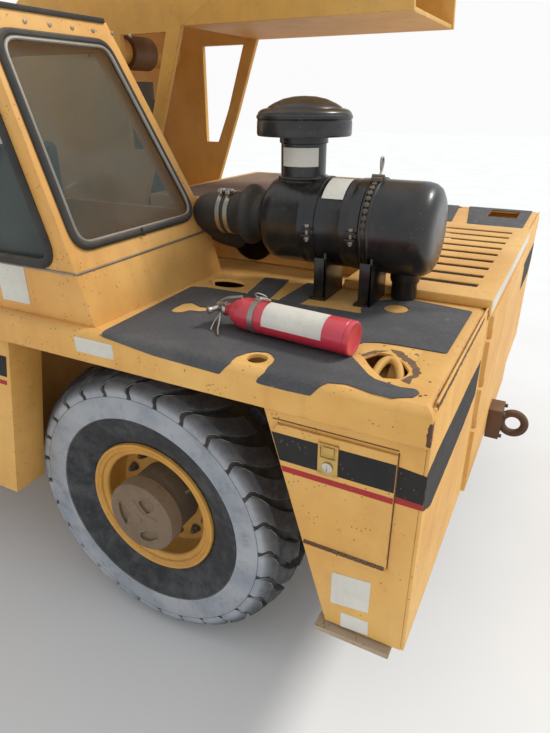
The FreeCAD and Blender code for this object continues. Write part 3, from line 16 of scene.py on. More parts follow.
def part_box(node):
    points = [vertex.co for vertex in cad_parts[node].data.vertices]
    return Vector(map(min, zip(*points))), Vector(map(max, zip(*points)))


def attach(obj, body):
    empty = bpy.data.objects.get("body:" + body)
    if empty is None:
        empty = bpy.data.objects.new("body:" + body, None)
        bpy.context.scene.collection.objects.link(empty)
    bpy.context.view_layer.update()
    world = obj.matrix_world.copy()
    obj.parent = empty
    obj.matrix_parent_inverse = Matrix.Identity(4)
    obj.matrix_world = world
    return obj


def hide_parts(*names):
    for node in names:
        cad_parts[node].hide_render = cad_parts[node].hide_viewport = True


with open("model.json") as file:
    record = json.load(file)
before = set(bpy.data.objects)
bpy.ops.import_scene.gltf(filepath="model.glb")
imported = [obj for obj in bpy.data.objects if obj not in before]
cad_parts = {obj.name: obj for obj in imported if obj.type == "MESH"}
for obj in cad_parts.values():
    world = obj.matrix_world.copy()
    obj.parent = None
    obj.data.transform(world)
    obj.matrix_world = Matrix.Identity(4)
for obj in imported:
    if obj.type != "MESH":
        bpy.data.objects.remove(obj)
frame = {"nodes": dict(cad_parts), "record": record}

logging.basicConfig(level=logging.INFO, format="%(message)s")
LOG = logging.getLogger("crane")
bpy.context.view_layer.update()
REAR = -2.50428
MM = 0.001
MIDDLE = -REAR / MM
DECK = 1093
HOOD = 1290
HALF_WIDTH = 1100
SIDES = (("left", 1), ("right", -1))
ENDS = ("rear", "front")
AHEAD, ACROSS, UP = Vector((1, 0, 0)), Vector((0, 1, 0)), Vector((0, 0, 1))
MIRROR = Matrix.Scale(-1, 4, ACROSS)
Piece = bpy.types.Object
Node = bpy.types.Node
Socket = bpy.types.NodeSocket
Place = Sequence[float]
Point = tuple[float, float]
Outline = Sequence[Point]
Colour = tuple[float, float, float, float]


def spot(station: float, y: float, z: float) -> Vector:
    """The place, in metres, of a station ahead of the rear face, a side and a height."""
    return Vector((REAR + station * MM, y * MM, z * MM))


class Face(Enum):
    """The way a flat piece lies: its two directions, then the one it is thick along."""

    TOP = "top"
    SIDE = "side"
    END = "end"

    def matrix(self) -> Matrix:
        """The matrix from the piece's own millimetres to the machine's metres."""
        rows = {
            Face.TOP: ((MM, 0, 0, REAR), (0, MM, 0, 0), (0, 0, MM, 0)),
            Face.SIDE: ((MM, 0, 0, REAR), (0, 0, MM, 0), (0, MM, 0, 0)),
            Face.END: ((0, 0, MM, REAR), (MM, 0, 0, 0), (0, MM, 0, 0)),
        }[self]
        return Matrix((*rows, (0, 0, 0, 1)))


def clear() -> None:
    """Leave edit mode and deselect everything."""
    active = bpy.context.view_layer.objects.active
    if active and active.mode != "OBJECT":
        bpy.ops.object.mode_set(mode="OBJECT")
    bpy.ops.object.select_all(action="DESELECT")


def pick(*pieces: Piece) -> None:
    """Select the pieces and make the first one active."""
    clear()
    for piece in pieces:
        piece.select_set(True)
    bpy.context.view_layer.objects.active = pieces[0]


@contextmanager
def editing(piece: Piece) -> Iterator[None]:
    """Edit mode on a piece with all of it selected."""
    pick(piece)
    bpy.ops.object.mode_set(mode="EDIT")
    bpy.ops.mesh.select_all(action="SELECT")
    yield
    bpy.ops.object.mode_set(mode="OBJECT")


def settle(piece: Piece, name: str) -> Piece:
    """Name a piece and put its place, turn and scale into its mesh."""
    pick(piece)
    piece.name = piece.data.name = name
    bpy.ops.object.transform_apply(location=True, rotation=True, scale=True)
    return piece


def tidy(piece: Piece, distance: float = 1e-5) -> Piece:
    """Merge a piece's doubles and point its faces outward."""
    with editing(piece):
        bpy.ops.mesh.remove_doubles(threshold=distance)
        bpy.ops.mesh.dissolve_degenerate(threshold=distance)
        bpy.ops.mesh.normals_make_consistent(inside=False)
    return piece


def modify(piece: Piece, kind: str, **settings: object) -> Piece:
    """Add a modifier of a kind with its settings and apply it."""
    pick(piece)
    modifier = piece.modifiers.new(kind.lower(), kind)
    for key, value in settings.items():
        setattr(modifier, key, value)
    bpy.ops.object.modifier_apply(modifier=modifier.name)
    return piece


def soften(piece: Piece, width: float, segments: int = 2, angle: float = 32.0) -> Piece:
    """Round a piece's sharp edges by a width in millimetres."""
    return modify(piece, "BEVEL", width=width * MM, segments=segments, limit_method="ANGLE",
                  angle_limit=math.radians(angle), miter_outer="MITER_ARC")


def block(name: str, low: Place, high: Place, edge: float = 0.0) -> Piece:
    """A block between two corners, each a station, side and height, with rounded edges."""
    clear()
    start, end = spot(*low), spot(*high)
    bpy.ops.mesh.primitive_cube_add(size=1, location=(start + end) / 2)
    piece = bpy.context.object
    piece.scale = [abs(size) for size in end - start]
    settle(piece, name)
    return soften(piece, edge) if edge else piece


def drum(name: str, start: Place, end: Place, radius: float, top: float | None = None, sides: int = 48,
         edge: float = 0.0) -> Piece:
    """A cylinder or cone from one point to another, with rounded rims."""
    clear()
    first, last = spot(*start), spot(*end)
    way = last - first
    bpy.ops.mesh.primitive_cone_add(
        vertices=sides, radius1=radius * MM, radius2=(radius if top is None else top) * MM, depth=way.length,
        location=(first + last) / 2, rotation=way.to_track_quat("Z", "Y").to_euler())
    piece = settle(bpy.context.object, name)
    return soften(piece, edge, 2, 50) if edge else piece


def lathe(name: str, profile: Outline, origin: Place, axis: Vector, steps: int = 64) -> Piece:
    """A profile of radius and reach spun about an axis.

    Args:
        name: the piece's name.
        profile: pairs of radius and reach along the axis, in order along the section.
        origin: station, side and height of the profile's zero.
        axis: the direction the reach runs in.
        steps: how many stretches the turn has.

    Returns:
        The closed piece.
    """
    clear()
    bpy.ops.mesh.primitive_plane_add(size=1e-3)
    piece = bpy.context.object
    bpy.ops.object.mode_set(mode="EDIT")
    bpy.ops.mesh.merge(type="CENTER")
    here = Vector((profile[0][0], 0, profile[0][1])) * MM
    bpy.ops.transform.translate(value=here)
    for radius, along in profile[1:]:
        there = Vector((radius, 0, along)) * MM
        bpy.ops.mesh.extrude_vertices_move(TRANSFORM_OT_translate={"value": there - here})
        here = there
    bpy.ops.mesh.select_all(action="SELECT")
    bpy.ops.mesh.spin(steps=steps, angle=2 * math.pi, center=(0, 0, 0), axis=(0, 0, 1))
    bpy.ops.object.mode_set(mode="OBJECT")
    tidy(piece, 2e-6)
    piece.rotation_euler = axis.to_track_quat("Z", "Y").to_euler()
    piece.location = spot(*origin)
    return settle(piece, name)


def oblong(x0: float, y0: float, x1: float, y1: float) -> list[Point]:
    """A rectangle between two corners."""
    return [(x0, y0), (x1, y0), (x1, y1), (x0, y1)]


def rounded(outline: Outline, radius: float, steps: int = 5) -> list[Point]:
    """An outline with its corners rounded to a radius."""
    path = []
    count = len(outline)
    for index, corner in enumerate(outline):
        here = Vector(corner)
        before, after = Vector(outline[index - 1]) - here, Vector(outline[(index + 1) % count]) - here
        turn = before.angle(after) / 2
        cut = min(radius / max(math.tan(turn), 0.05), before.length * 0.45, after.length * 0.45)
        start, end = here + before.normalized() * cut, here + after.normalized() * cut
        for step in range(steps + 1):
            t = step / steps
            point = start * (1 - t) ** 2 + here * 2 * t * (1 - t) + end * t ** 2
            path.append((point.x, point.y))
    return path


def linked(name: str, data: bpy.types.ID) -> Piece:
    """A new object in the scene."""
    piece = bpy.data.objects.new(name, data)
    bpy.context.scene.collection.objects.link(piece)
    return piece


def meshed(curve: bpy.types.Curve) -> Piece:
    """A curve as a mesh."""
    pick(linked(curve.name, curve))
    bpy.ops.object.convert(target="MESH")
    return bpy.context.object


def wrapped(name: str, cuts: tuple[int, int], thick: float, place: Callable[[float, float], Vector]) -> Piece:
    """A thin sheet laid on a round piece.

    Args:
        name: the sheet's name.
        cuts: how many stretches it has along its two directions.
        thick: its thickness.
        place: where a point goes, from its two shares between -1 and 1.

    Returns:
        The closed piece.
    """
    clear()
    bpy.ops.mesh.primitive_grid_add(x_subdivisions=cuts[0], y_subdivisions=cuts[1], size=2)
    piece = bpy.context.object
    for vertex in piece.data.vertices:
        vertex.co = place(vertex.co.x, vertex.co.y)
    return modify(settle(piece, name), "SOLIDIFY", thickness=thick * MM, offset=0)


def flat(name: str, face: Face, outlines: Sequence[Outline], start: float, thick: float, edge: float = 0.0) -> Piece:
    """A flat piece cut from a sheet, with holes and softly broken edges.

    Args:
        name: the piece's name.
        face: the way it lies.
        outlines: the outer outline, then its holes.
        start: where its thickness starts, along the face's third direction.
        thick: its thickness.
        edge: how much its edges are broken.

    Returns:
        The closed piece.
    """
    curve = bpy.data.curves.new(name, "CURVE")
    curve.dimensions = "2D"
    curve.fill_mode = "BOTH"
    curve.extrude = thick / 2 - edge
    curve.bevel_depth = edge
    curve.bevel_resolution = 1
    curve.offset = -edge
    for outline in outlines:
        spline = curve.splines.new("POLY")
        spline.points.add(len(outline) - 1)
        for point, (u, v) in zip(spline.points, outline):
            point.co = (u, v, 0, 1)
        spline.use_cyclic_u = True
    piece = meshed(curve)
    piece.location.z = start + thick / 2
    settle(piece, name)
    piece.matrix_world = face.matrix()
    settle(piece, name)
    return tidy(piece, 2e-6)


def pipe(name: str, points: Sequence[Place], radius: float, smooth: bool = True, sides: int = 4) -> Piece:
    """A round bar, rigid tube or bead along points given as station, side and height."""
    curve = bpy.data.curves.new(name, "CURVE")
    curve.dimensions = "3D"
    curve.bevel_depth = radius * MM
    curve.bevel_resolution = sides
    curve.resolution_u = 5
    curve.use_fill_caps = True
    spline = curve.splines.new("NURBS" if smooth else "POLY")
    spline.points.add(len(points) - 1)
    for point, place in zip(spline.points, points):
        point.co = (*spot(*place), 1)
    if smooth:
        spline.order_u = 3
        spline.use_endpoint_u = True
    return tidy(settle(meshed(curve), name), 1e-6)


def hoop(name: str, points: Sequence[Place], radius: float, sides: int = 3) -> Piece:
    """A bead that closes on itself."""
    return pipe(name, [*points, points[0]], radius, False, sides)


def rolled(piece: Piece, test: Callable[[Vector], bool], radius: float) -> Piece:
    """Round the edges whose ends both pass a test to a radius."""
    pick(piece)
    bpy.ops.object.mode_set(mode="EDIT")
    bpy.ops.mesh.select_mode(type="EDGE")
    bpy.ops.mesh.select_all(action="DESELECT")
    bpy.ops.object.mode_set(mode="OBJECT")
    corners = [test(vertex.co) for vertex in piece.data.vertices]
    for edge in piece.data.edges:
        edge.select = corners[edge.vertices[0]] and corners[edge.vertices[1]]
    bpy.ops.object.mode_set(mode="EDIT")
    bpy.ops.mesh.bevel(offset=radius * MM, segments=7, affect="EDGES")
    bpy.ops.mesh.select_mode(type="VERT")
    bpy.ops.object.mode_set(mode="OBJECT")
    return piece


def sliced(piece: Piece, side: int, places: Sequence[float]) -> Piece:
    """Cut lines along a piece at distances from the centre plane, so that it can bend there."""
    with editing(piece):
        for place in places:
            bpy.ops.mesh.select_all(action="SELECT")
            bpy.ops.mesh.bisect(plane_co=(0, side * place * MM, 0), plane_no=ACROSS)
    return piece


def jagged(points: Outline, rough: float, step: float = 7.0) -> list[Point]:
    """An outline with its sides broken up at random."""
    path = []
    for index, point in enumerate(points):
        start, end = Vector(point), Vector(points[(index + 1) % len(points)])
        count = max(1, round((end - start).length / step))
        for part in range(count):
            place = start.lerp(end, part / count)
            path.append((place.x + random.uniform(-rough, rough), place.y + random.uniform(-rough, rough)))
    return path


def copied(piece: Piece, matrix: Matrix, name: str) -> Piece:
    """A copy of a piece with its own mesh, moved by a matrix; a mirrored one is turned right side out."""
    twin = piece.copy()
    twin.data = piece.data.copy()
    bpy.context.scene.collection.objects.link(twin)
    twin.matrix_world = matrix @ piece.matrix_world
    settle(twin, name)
    if matrix.determinant() < 0:
        with editing(twin):
            bpy.ops.mesh.normals_make_consistent(inside=False)
    return twin


def joined(name: str, pieces: Sequence[Piece]) -> Piece:
    """The pieces as one object."""
    pick(*pieces)
    if len(pieces) > 1:
        bpy.ops.object.join()
    piece = bpy.context.object
    piece.name = piece.data.name = name
    return piece


def carved(piece: Piece, *tools: Piece) -> Piece:
    """A piece with the tools cut out of it."""
    for tool in tools:
        modify(piece, "BOOLEAN", operation="DIFFERENCE", object=tool, solver="EXACT")
        bpy.data.objects.remove(tool)
    return piece


class Wiring:
    """Short calls that add and link the nodes of one tree."""

    def __init__(self, tree: bpy.types.NodeTree) -> None:
        """Start with the tree's nodes removed."""
        self.tree = tree
        tree.nodes.clear()

    def add(self, kind: str, values: dict | None = None, **settings: object) -> Node:
        """A node with settings, and its inputs fed by constants or sockets."""
        node = self.tree.nodes.new(kind)
        for key, value in settings.items():
            setattr(node, key, value)
        for key, value in (values or {}).items():
            self.feed(value, node.inputs[key])
        return node

    def feed(self, value: object, target: Socket) -> None:
        """Link a socket to an input, or set the input to a constant."""
        if isinstance(value, Socket):
            self.tree.links.new(value, target)
        else:
            target.default_value = value

    def sum(self, kind: str, a: object, b: object = 0.0, clamp: bool = False) -> Socket:
        """A Math node's result."""
        return self.add("ShaderNodeMath", {0: a, 1: b}, operation=kind, use_clamp=clamp).outputs[0]

    def times(self, a: object, b: object, clamp: bool = False) -> Socket:
        """Two values multiplied."""
        return self.sum("MULTIPLY", a, b, clamp)

    def plus(self, a: object, b: object, clamp: bool = False) -> Socket:
        """Two values added."""
        return self.sum("ADD", a, b, clamp)

    def ramp(self, value: object, low: float, high: float, to_low: float = 0.0, to_high: float = 1.0) -> Socket:
        """A value brought from one range to another with soft ends."""
        values = {"Value": value, "From Min": low, "From Max": high, "To Min": to_low, "To Max": to_high}
        return self.add("ShaderNodeMapRange", values, interpolation_type="SMOOTHSTEP").outputs["Result"]

    def mix(self, share: object, a: object, b: object) -> Socket:
        """Two colours mixed by a share."""
        return self.add("ShaderNodeMix", {0: share, 6: a, 7: b}, data_type="RGBA").outputs[2]

    def noise(self, vector: object, scale: float, detail: float = 3.0, rough: float = 0.55) -> Socket:
        """Soft noise of a scale."""
        values = {"Vector": vector, "Scale": scale, "Detail": detail, "Roughness": rough}
        return self.add("ShaderNodeTexNoise", values).outputs[0]

    def cells(self, vector: object, scale: float) -> Socket:
        """The distance in a pattern of cells."""
        return self.add("ShaderNodeTexVoronoi", {"Vector": vector, "Scale": scale}).outputs[0]

    def scaled(self, vector: object, scale: Place) -> Socket:
        """A vector scaled along its axes."""
        return self.add("ShaderNodeMapping", {"Vector": vector, "Scale": scale}).outputs[0]

    def place(self) -> Socket:
        """The place on the piece."""
        return self.add("ShaderNodeTexCoord").outputs["Object"]

    def bump(self, height: object, strength: float, distance: float, **settings: object) -> Socket:
        """A normal that follows a height."""
        values = {"Height": height, "Strength": strength, "Distance": distance}
        return self.add("ShaderNodeBump", values, **settings).outputs[0]

    def wear(self, tree: bpy.types.NodeTree, at: Socket, **values: float) -> dict:
        """The outputs of a wear group placed with its values."""
        node = self.add("ShaderNodeGroup", node_tree=tree)
        for key, value in {"Vector": at, **values}.items():
            self.feed(value, node.inputs[key])
        return node.outputs

    def surface(self, shader: Node) -> None:
        """Lead a shader to the material's surface."""
        self.add("ShaderNodeOutputMaterial", {"Surface": shader.outputs[0]})


def started(name: str) -> tuple[bpy.types.Material, Wiring]:
    """A new material and the wiring of its empty tree."""
    material = bpy.data.materials.new(name)
    material.use_nodes = True
    return material, Wiring(material.node_tree)


def group(name: str, inputs: dict[str, float | None], outputs: Sequence[str],
          build: Callable[[Wiring, Node], dict]) -> bpy.types.NodeTree:
    """A shader node group.

    Args:
        name: the group's name.
        inputs: its inputs with their defaults; a vector has None.
        outputs: the names of its outputs, all plain values.
        build: a function that wires it up and returns what feeds each output.

    Returns:
        The group's tree.
    """
    tree = bpy.data.node_groups.new(name, "ShaderNodeTree")
    for key, value in inputs.items():
        kind = "NodeSocketVector" if value is None else "NodeSocketFloat"
        made = tree.interface.new_socket(key, in_out="INPUT", socket_type=kind)
        if value is not None:
            made.default_value = value
    for key in outputs:
        tree.interface.new_socket(key, in_out="OUTPUT", socket_type="NodeSocketFloat")
    wires = Wiring(tree)
    start = wires.add("NodeGroupInput")
    wires.add("NodeGroupOutput", build(wires, start))
    return tree


def wire_edges(w: Wiring, start: Node) -> dict:
    """Worn edges: where the rounded normal leaves the true one, broken up by noise."""
    soft = w.add("ShaderNodeBevel", {"Radius": start.outputs["Width"]}, samples=6).outputs[0]
    true = w.add("ShaderNodeNewGeometry").outputs["Normal"]
    dot = w.add("ShaderNodeVectorMath", {0: soft, 1: true}, operation="DOT_PRODUCT").outputs["Value"]
    edge = w.ramp(dot, 0.985, 0.80)
    broken = w.ramp(w.noise(start.outputs["Vector"], 38, 5, 0.7), 0.47, 0.60)
    wide = w.ramp(w.noise(start.outputs["Vector"], 4.5, 2), 0.42, 0.62)
    share = w.times(w.times(edge, broken), wide)
    return {"Edge": edge, "Worn": w.times(share, start.outputs["Amount"], True)}


def wire_dust(w: Wiring, start: Node) -> dict:
    """Dust that lies on faces that look up, in patches."""
    up = w.add("ShaderNodeSeparateXYZ", {0: w.add("ShaderNodeNewGeometry").outputs["Normal"]}).outputs["Z"]
    lying = w.ramp(up, 0.15, 0.95, 0.18, 1.0)
    vector = start.outputs["Vector"]
    patches = w.plus(w.ramp(w.noise(vector, 3.1, 4, 0.6), 0.36, 0.70, 0.25, 0.8),
                    w.ramp(w.noise(vector, 55, 3, 0.7), 0.40, 0.75, 0.0, 0.35))
    return {"Dust": w.times(w.times(lying, patches), start.outputs["Amount"], True)}


def wire_chips(w: Wiring, start: Node) -> dict:
    """Small chips and rust specks, thick in some places and thin in others."""
    vector = start.outputs["Vector"]
    region = w.ramp(w.noise(vector, 2.2, 3, 0.6), 0.44, 0.72)
    specks = w.ramp(w.cells(vector, 95), 0.22, 0.12)
    fine = w.ramp(w.noise(vector, 140, 3, 0.6), 0.66, 0.72)
    both = w.sum("MAXIMUM", w.times(specks, w.ramp(w.noise(vector, 19, 2), 0.52, 0.6)), w.times(fine, region))
    return {"Chips": w.times(both, start.outputs["Amount"], True)}


def wire_runs(w: Wiring, start: Node) -> dict:
    """Dirt that runs down upright faces, and soft stains."""
    vector = start.outputs["Vector"]
    long = w.scaled(vector, (1.0, 1.0, 0.09))
    runs = w.ramp(w.noise(long, 21, 4, 0.6), 0.50, 0.78)
    stains = w.ramp(w.noise(vector, 5.2, 5, 0.62), 0.48, 0.74)
    share = w.plus(w.times(runs, 0.6), w.times(stains, 0.5))
    return {"Runs": w.times(share, start.outputs["Amount"], True)}


EDGES = group("worn_edges", {"Vector": None, "Width": 0.004, "Amount": 1.0}, ("Edge", "Worn"), wire_edges)
DUST = group("settled_dust", {"Vector": None, "Amount": 0.4}, ("Dust",), wire_dust)
CHIPS = group("chips_and_specks", {"Vector": None, "Amount": 0.5}, ("Chips",), wire_chips)
RUNS = group("runs_and_stains", {"Vector": None, "Amount": 0.3}, ("Runs",), wire_runs)


def hue(red: float, green: float, blue: float) -> Colour:
    """A colour read from the screen, 0 to 255, as a linear one."""
    shares = (red / 255, green / 255, blue / 255)
    return (*(share / 12.92 if share <= 0.04045 else ((share + 0.055) / 1.055) ** 2.4 for share in shares), 1.0)


RUST = hue(104, 58, 34)
DEEP_RUST = hue(62, 36, 26)
EARTH = hue(172, 152, 122)
SOOT = hue(58, 46, 34)


@dataclass(frozen=True)
class Coat:
    """A painted, plated or bare surface with its wear."""

    name: str
    slot: str
    colour: Colour
    faded: Colour
    rough: float = 0.5
    metal: float = 0.0
    coat: float = 0.0
    dust: float = 0.35
    dust_colour: Colour = EARTH
    edge: float = 0.8
    edge_width: float = 0.005
    edge_colour: Colour = DEEP_RUST
    chips: float = 0.5
    chip_colour: Colour = RUST
    runs: float = 0.3
    run_colour: Colour = SOOT
    grain: float = 260.0
    relief: float = 0.0004

    def build(self) -> bpy.types.Material:
        """The coat as a material.

        Returns:
            A material whose colour, roughness and relief follow the wear.
        """
        material, w = started(self.name)
        at = w.place()
        worn_edge = w.wear(EDGES, at, Width=self.edge_width, Amount=self.edge)["Worn"]
        dust = w.wear(DUST, at, Amount=self.dust)["Dust"]
        chips = w.wear(CHIPS, at, Amount=self.chips)["Chips"]
        runs = w.wear(RUNS, at, Amount=self.runs)["Runs"]
        fade = w.ramp(w.noise(at, 1.7, 4, 0.6), 0.34, 0.66)
        fine = w.noise(at, self.grain, 2, 0.5)
        colour = w.mix(fade, self.colour, self.faded)
        colour = w.mix(w.ramp(w.noise(at, 11, 4, 0.65), 0.35, 0.75, 0.0, 0.16), colour, self.run_colour)
        colour = w.mix(runs, colour, self.run_colour)
        colour = w.mix(dust, colour, self.dust_colour)
        colour = w.mix(chips, colour, self.chip_colour)
        colour = w.mix(worn_edge, colour, self.edge_colour)
        bare = w.sum("MAXIMUM", chips, worn_edge)
        rough = w.plus(self.rough, w.times(w.noise(at, 23, 4), 0.22))
        rough = w.plus(rough, w.times(w.plus(dust, bare), 0.28), True)
        height = w.sum("SUBTRACT", w.times(fine, 0.25), bare)
        normal = w.bump(height, 0.6, self.relief)
        shader = w.add("ShaderNodeBsdfPrincipled", {"Base Color": colour, "Roughness": rough, "Normal": normal})
        clean = w.sum("SUBTRACT", 1.0, w.sum("MAXIMUM", bare, dust), True)
        if self.metal:
            w.feed(w.times(clean, self.metal), shader.inputs["Metallic"])
        if self.coat:
            w.feed(w.times(clean, self.coat), shader.inputs["Coat Weight"])
            w.feed(0.12, shader.inputs["Coat Roughness"])
        w.surface(shader)
        return material


@dataclass(frozen=True)
class Grit:
    """Anti-slip sheet: grey grit with pale dust between its grains."""

    name: str
    slot: str
    colour: Colour
    dust: Colour

    def build(self) -> bpy.types.Material:
        """The sheet as a material."""
        material, w = started(self.name)
        at = w.place()
        grains = w.cells(at, 420)
        patches = w.ramp(w.noise(at, 3.5, 5, 0.65), 0.35, 0.72)
        scuffs = w.ramp(w.noise(at, 16, 5, 0.7), 0.60, 0.74)
        colour = w.mix(w.times(patches, 0.45), self.colour, self.dust)
        colour = w.mix(w.times(scuffs, 0.55), colour, hue(150, 148, 146))
        colour = w.mix(w.ramp(grains, 0.25, 0.65, 0.0, 0.35), colour, hue(40, 40, 42))
        normal = w.bump(grains, 0.9, 0.0008, invert=True)
        shader = w.add("ShaderNodeBsdfPrincipled", {
            "Base Color": colour, "Normal": normal,
            "Roughness": w.ramp(w.noise(at, 90), 0.3, 0.7, 0.78, 0.96)})
        w.surface(shader)
        return material


@dataclass(frozen=True)
class Tread:
    """Tyre rubber with the outer ring painted grey, dimmed towards the shoulder as painted shade, and the lug edges
    scuffed pale.
    """

    name: str
    slot: str

    def build(self) -> bpy.types.Material:
        """The rubber as a material; the mesh says how far each point is from the axle and outward."""
        material, w = started(self.name)
        at = w.place()
        radial = w.add("ShaderNodeAttribute", attribute_name="radial").outputs["Fac"]
        outward = w.add("ShaderNodeAttribute", attribute_name="outward").outputs["Fac"]
        edge = w.wear(EDGES, at, Width=0.004)["Edge"]
        wobble = w.times(w.sum("SUBTRACT", w.noise(at, 9, 4), 0.5), 0.012)
        shifted = w.plus(outward, w.times(wobble, 0.8))
        lug = w.add("ShaderNodeAttribute", attribute_name="lug").outputs["Fac"]
        ring = w.ramp(w.plus(radial, w.times(wobble, 0.2)), 0.3175, 0.3190)
        shoulder = w.ramp(shifted, 0.107, 0.113)
        faded = w.ramp(shifted, 0.119, 0.133, 0.35, 1.0)
        # painted shade: beyond 0.40 m from the axle the grey paint is dimmed to 0.4, standing for the deck's shadow on
        # the upper shoulder
        faded = w.times(faded, w.ramp(radial, 0.398, 0.418, 1.0, 0.4))
        raised = w.sum("MAXIMUM", w.ramp(radial, 0.3835, 0.3875, 1.0, 0.0), w.ramp(lug, 0.55, 0.9))
        rubbed = w.ramp(w.noise(at, 27, 5, 0.7), 0.30, 0.52, 0.75, 1.0)
        paint = w.times(w.times(w.times(ring, shoulder), w.times(faded, rubbed)), raised)
        dusty = w.ramp(w.noise(at, 13, 5, 0.7), 0.42, 0.70, 0.05, 0.55)
        colour = w.mix(dusty, hue(40, 41, 44), hue(92, 92, 92))
        marks = w.ramp(w.noise(at, 60, 3, 0.8), 0.62, 0.70, 0.0, 0.35)
        colour = w.mix(marks, colour, hue(120, 118, 114))
        grey = w.mix(w.ramp(w.noise(at, 6, 4), 0.3, 0.7), hue(140, 146, 156), hue(170, 172, 175))
        colour = w.mix(paint, colour, grey)
        scuff = w.times(w.times(edge, shoulder), 0.85)
        colour = w.mix(scuff, colour, hue(205, 202, 194))
        fine = w.plus(w.noise(at, 320, 3), w.times(w.noise(at, 45, 4, 0.7), 1.5))
        normal = w.bump(fine, 0.55, 0.0009)
        shader = w.add("ShaderNodeBsdfPrincipled", {
            "Base Color": colour, "Normal": normal, "Roughness": w.ramp(w.noise(at, 30), 0.3, 0.7, 0.66, 0.9)})
        w.surface(shader)
        return material


@dataclass(frozen=True)
class Pane:
    """Tinted window glass with dust on it."""

    name: str
    slot: str
    tint: Colour
    dust: float = 0.35

    def build(self) -> bpy.types.Material:
        """The glass as a material."""
        material, w = started(self.name)
        at = w.place()
        film = w.ramp(w.noise(at, 2.6, 5, 0.6), 0.30, 0.75, 0.10, 0.55)
        drops = w.ramp(w.cells(at, 70), 0.16, 0.08, 0.0, 0.6)
        dirt = w.times(w.sum("MAXIMUM", film, drops), self.dust, True)
        glass = w.add("ShaderNodeBsdfPrincipled", {
            "Base Color": w.mix(dirt, self.tint, hue(150, 150, 138)), "Roughness": w.times(dirt, 0.3), "IOR": 1.1,
            "Alpha": w.plus(0.20, w.times(dirt, 0.7), True),
            "Specular IOR Level": 0.8, "Coat Weight": 0.6, "Coat Roughness": 0.03})
        w.surface(glass)
        return material


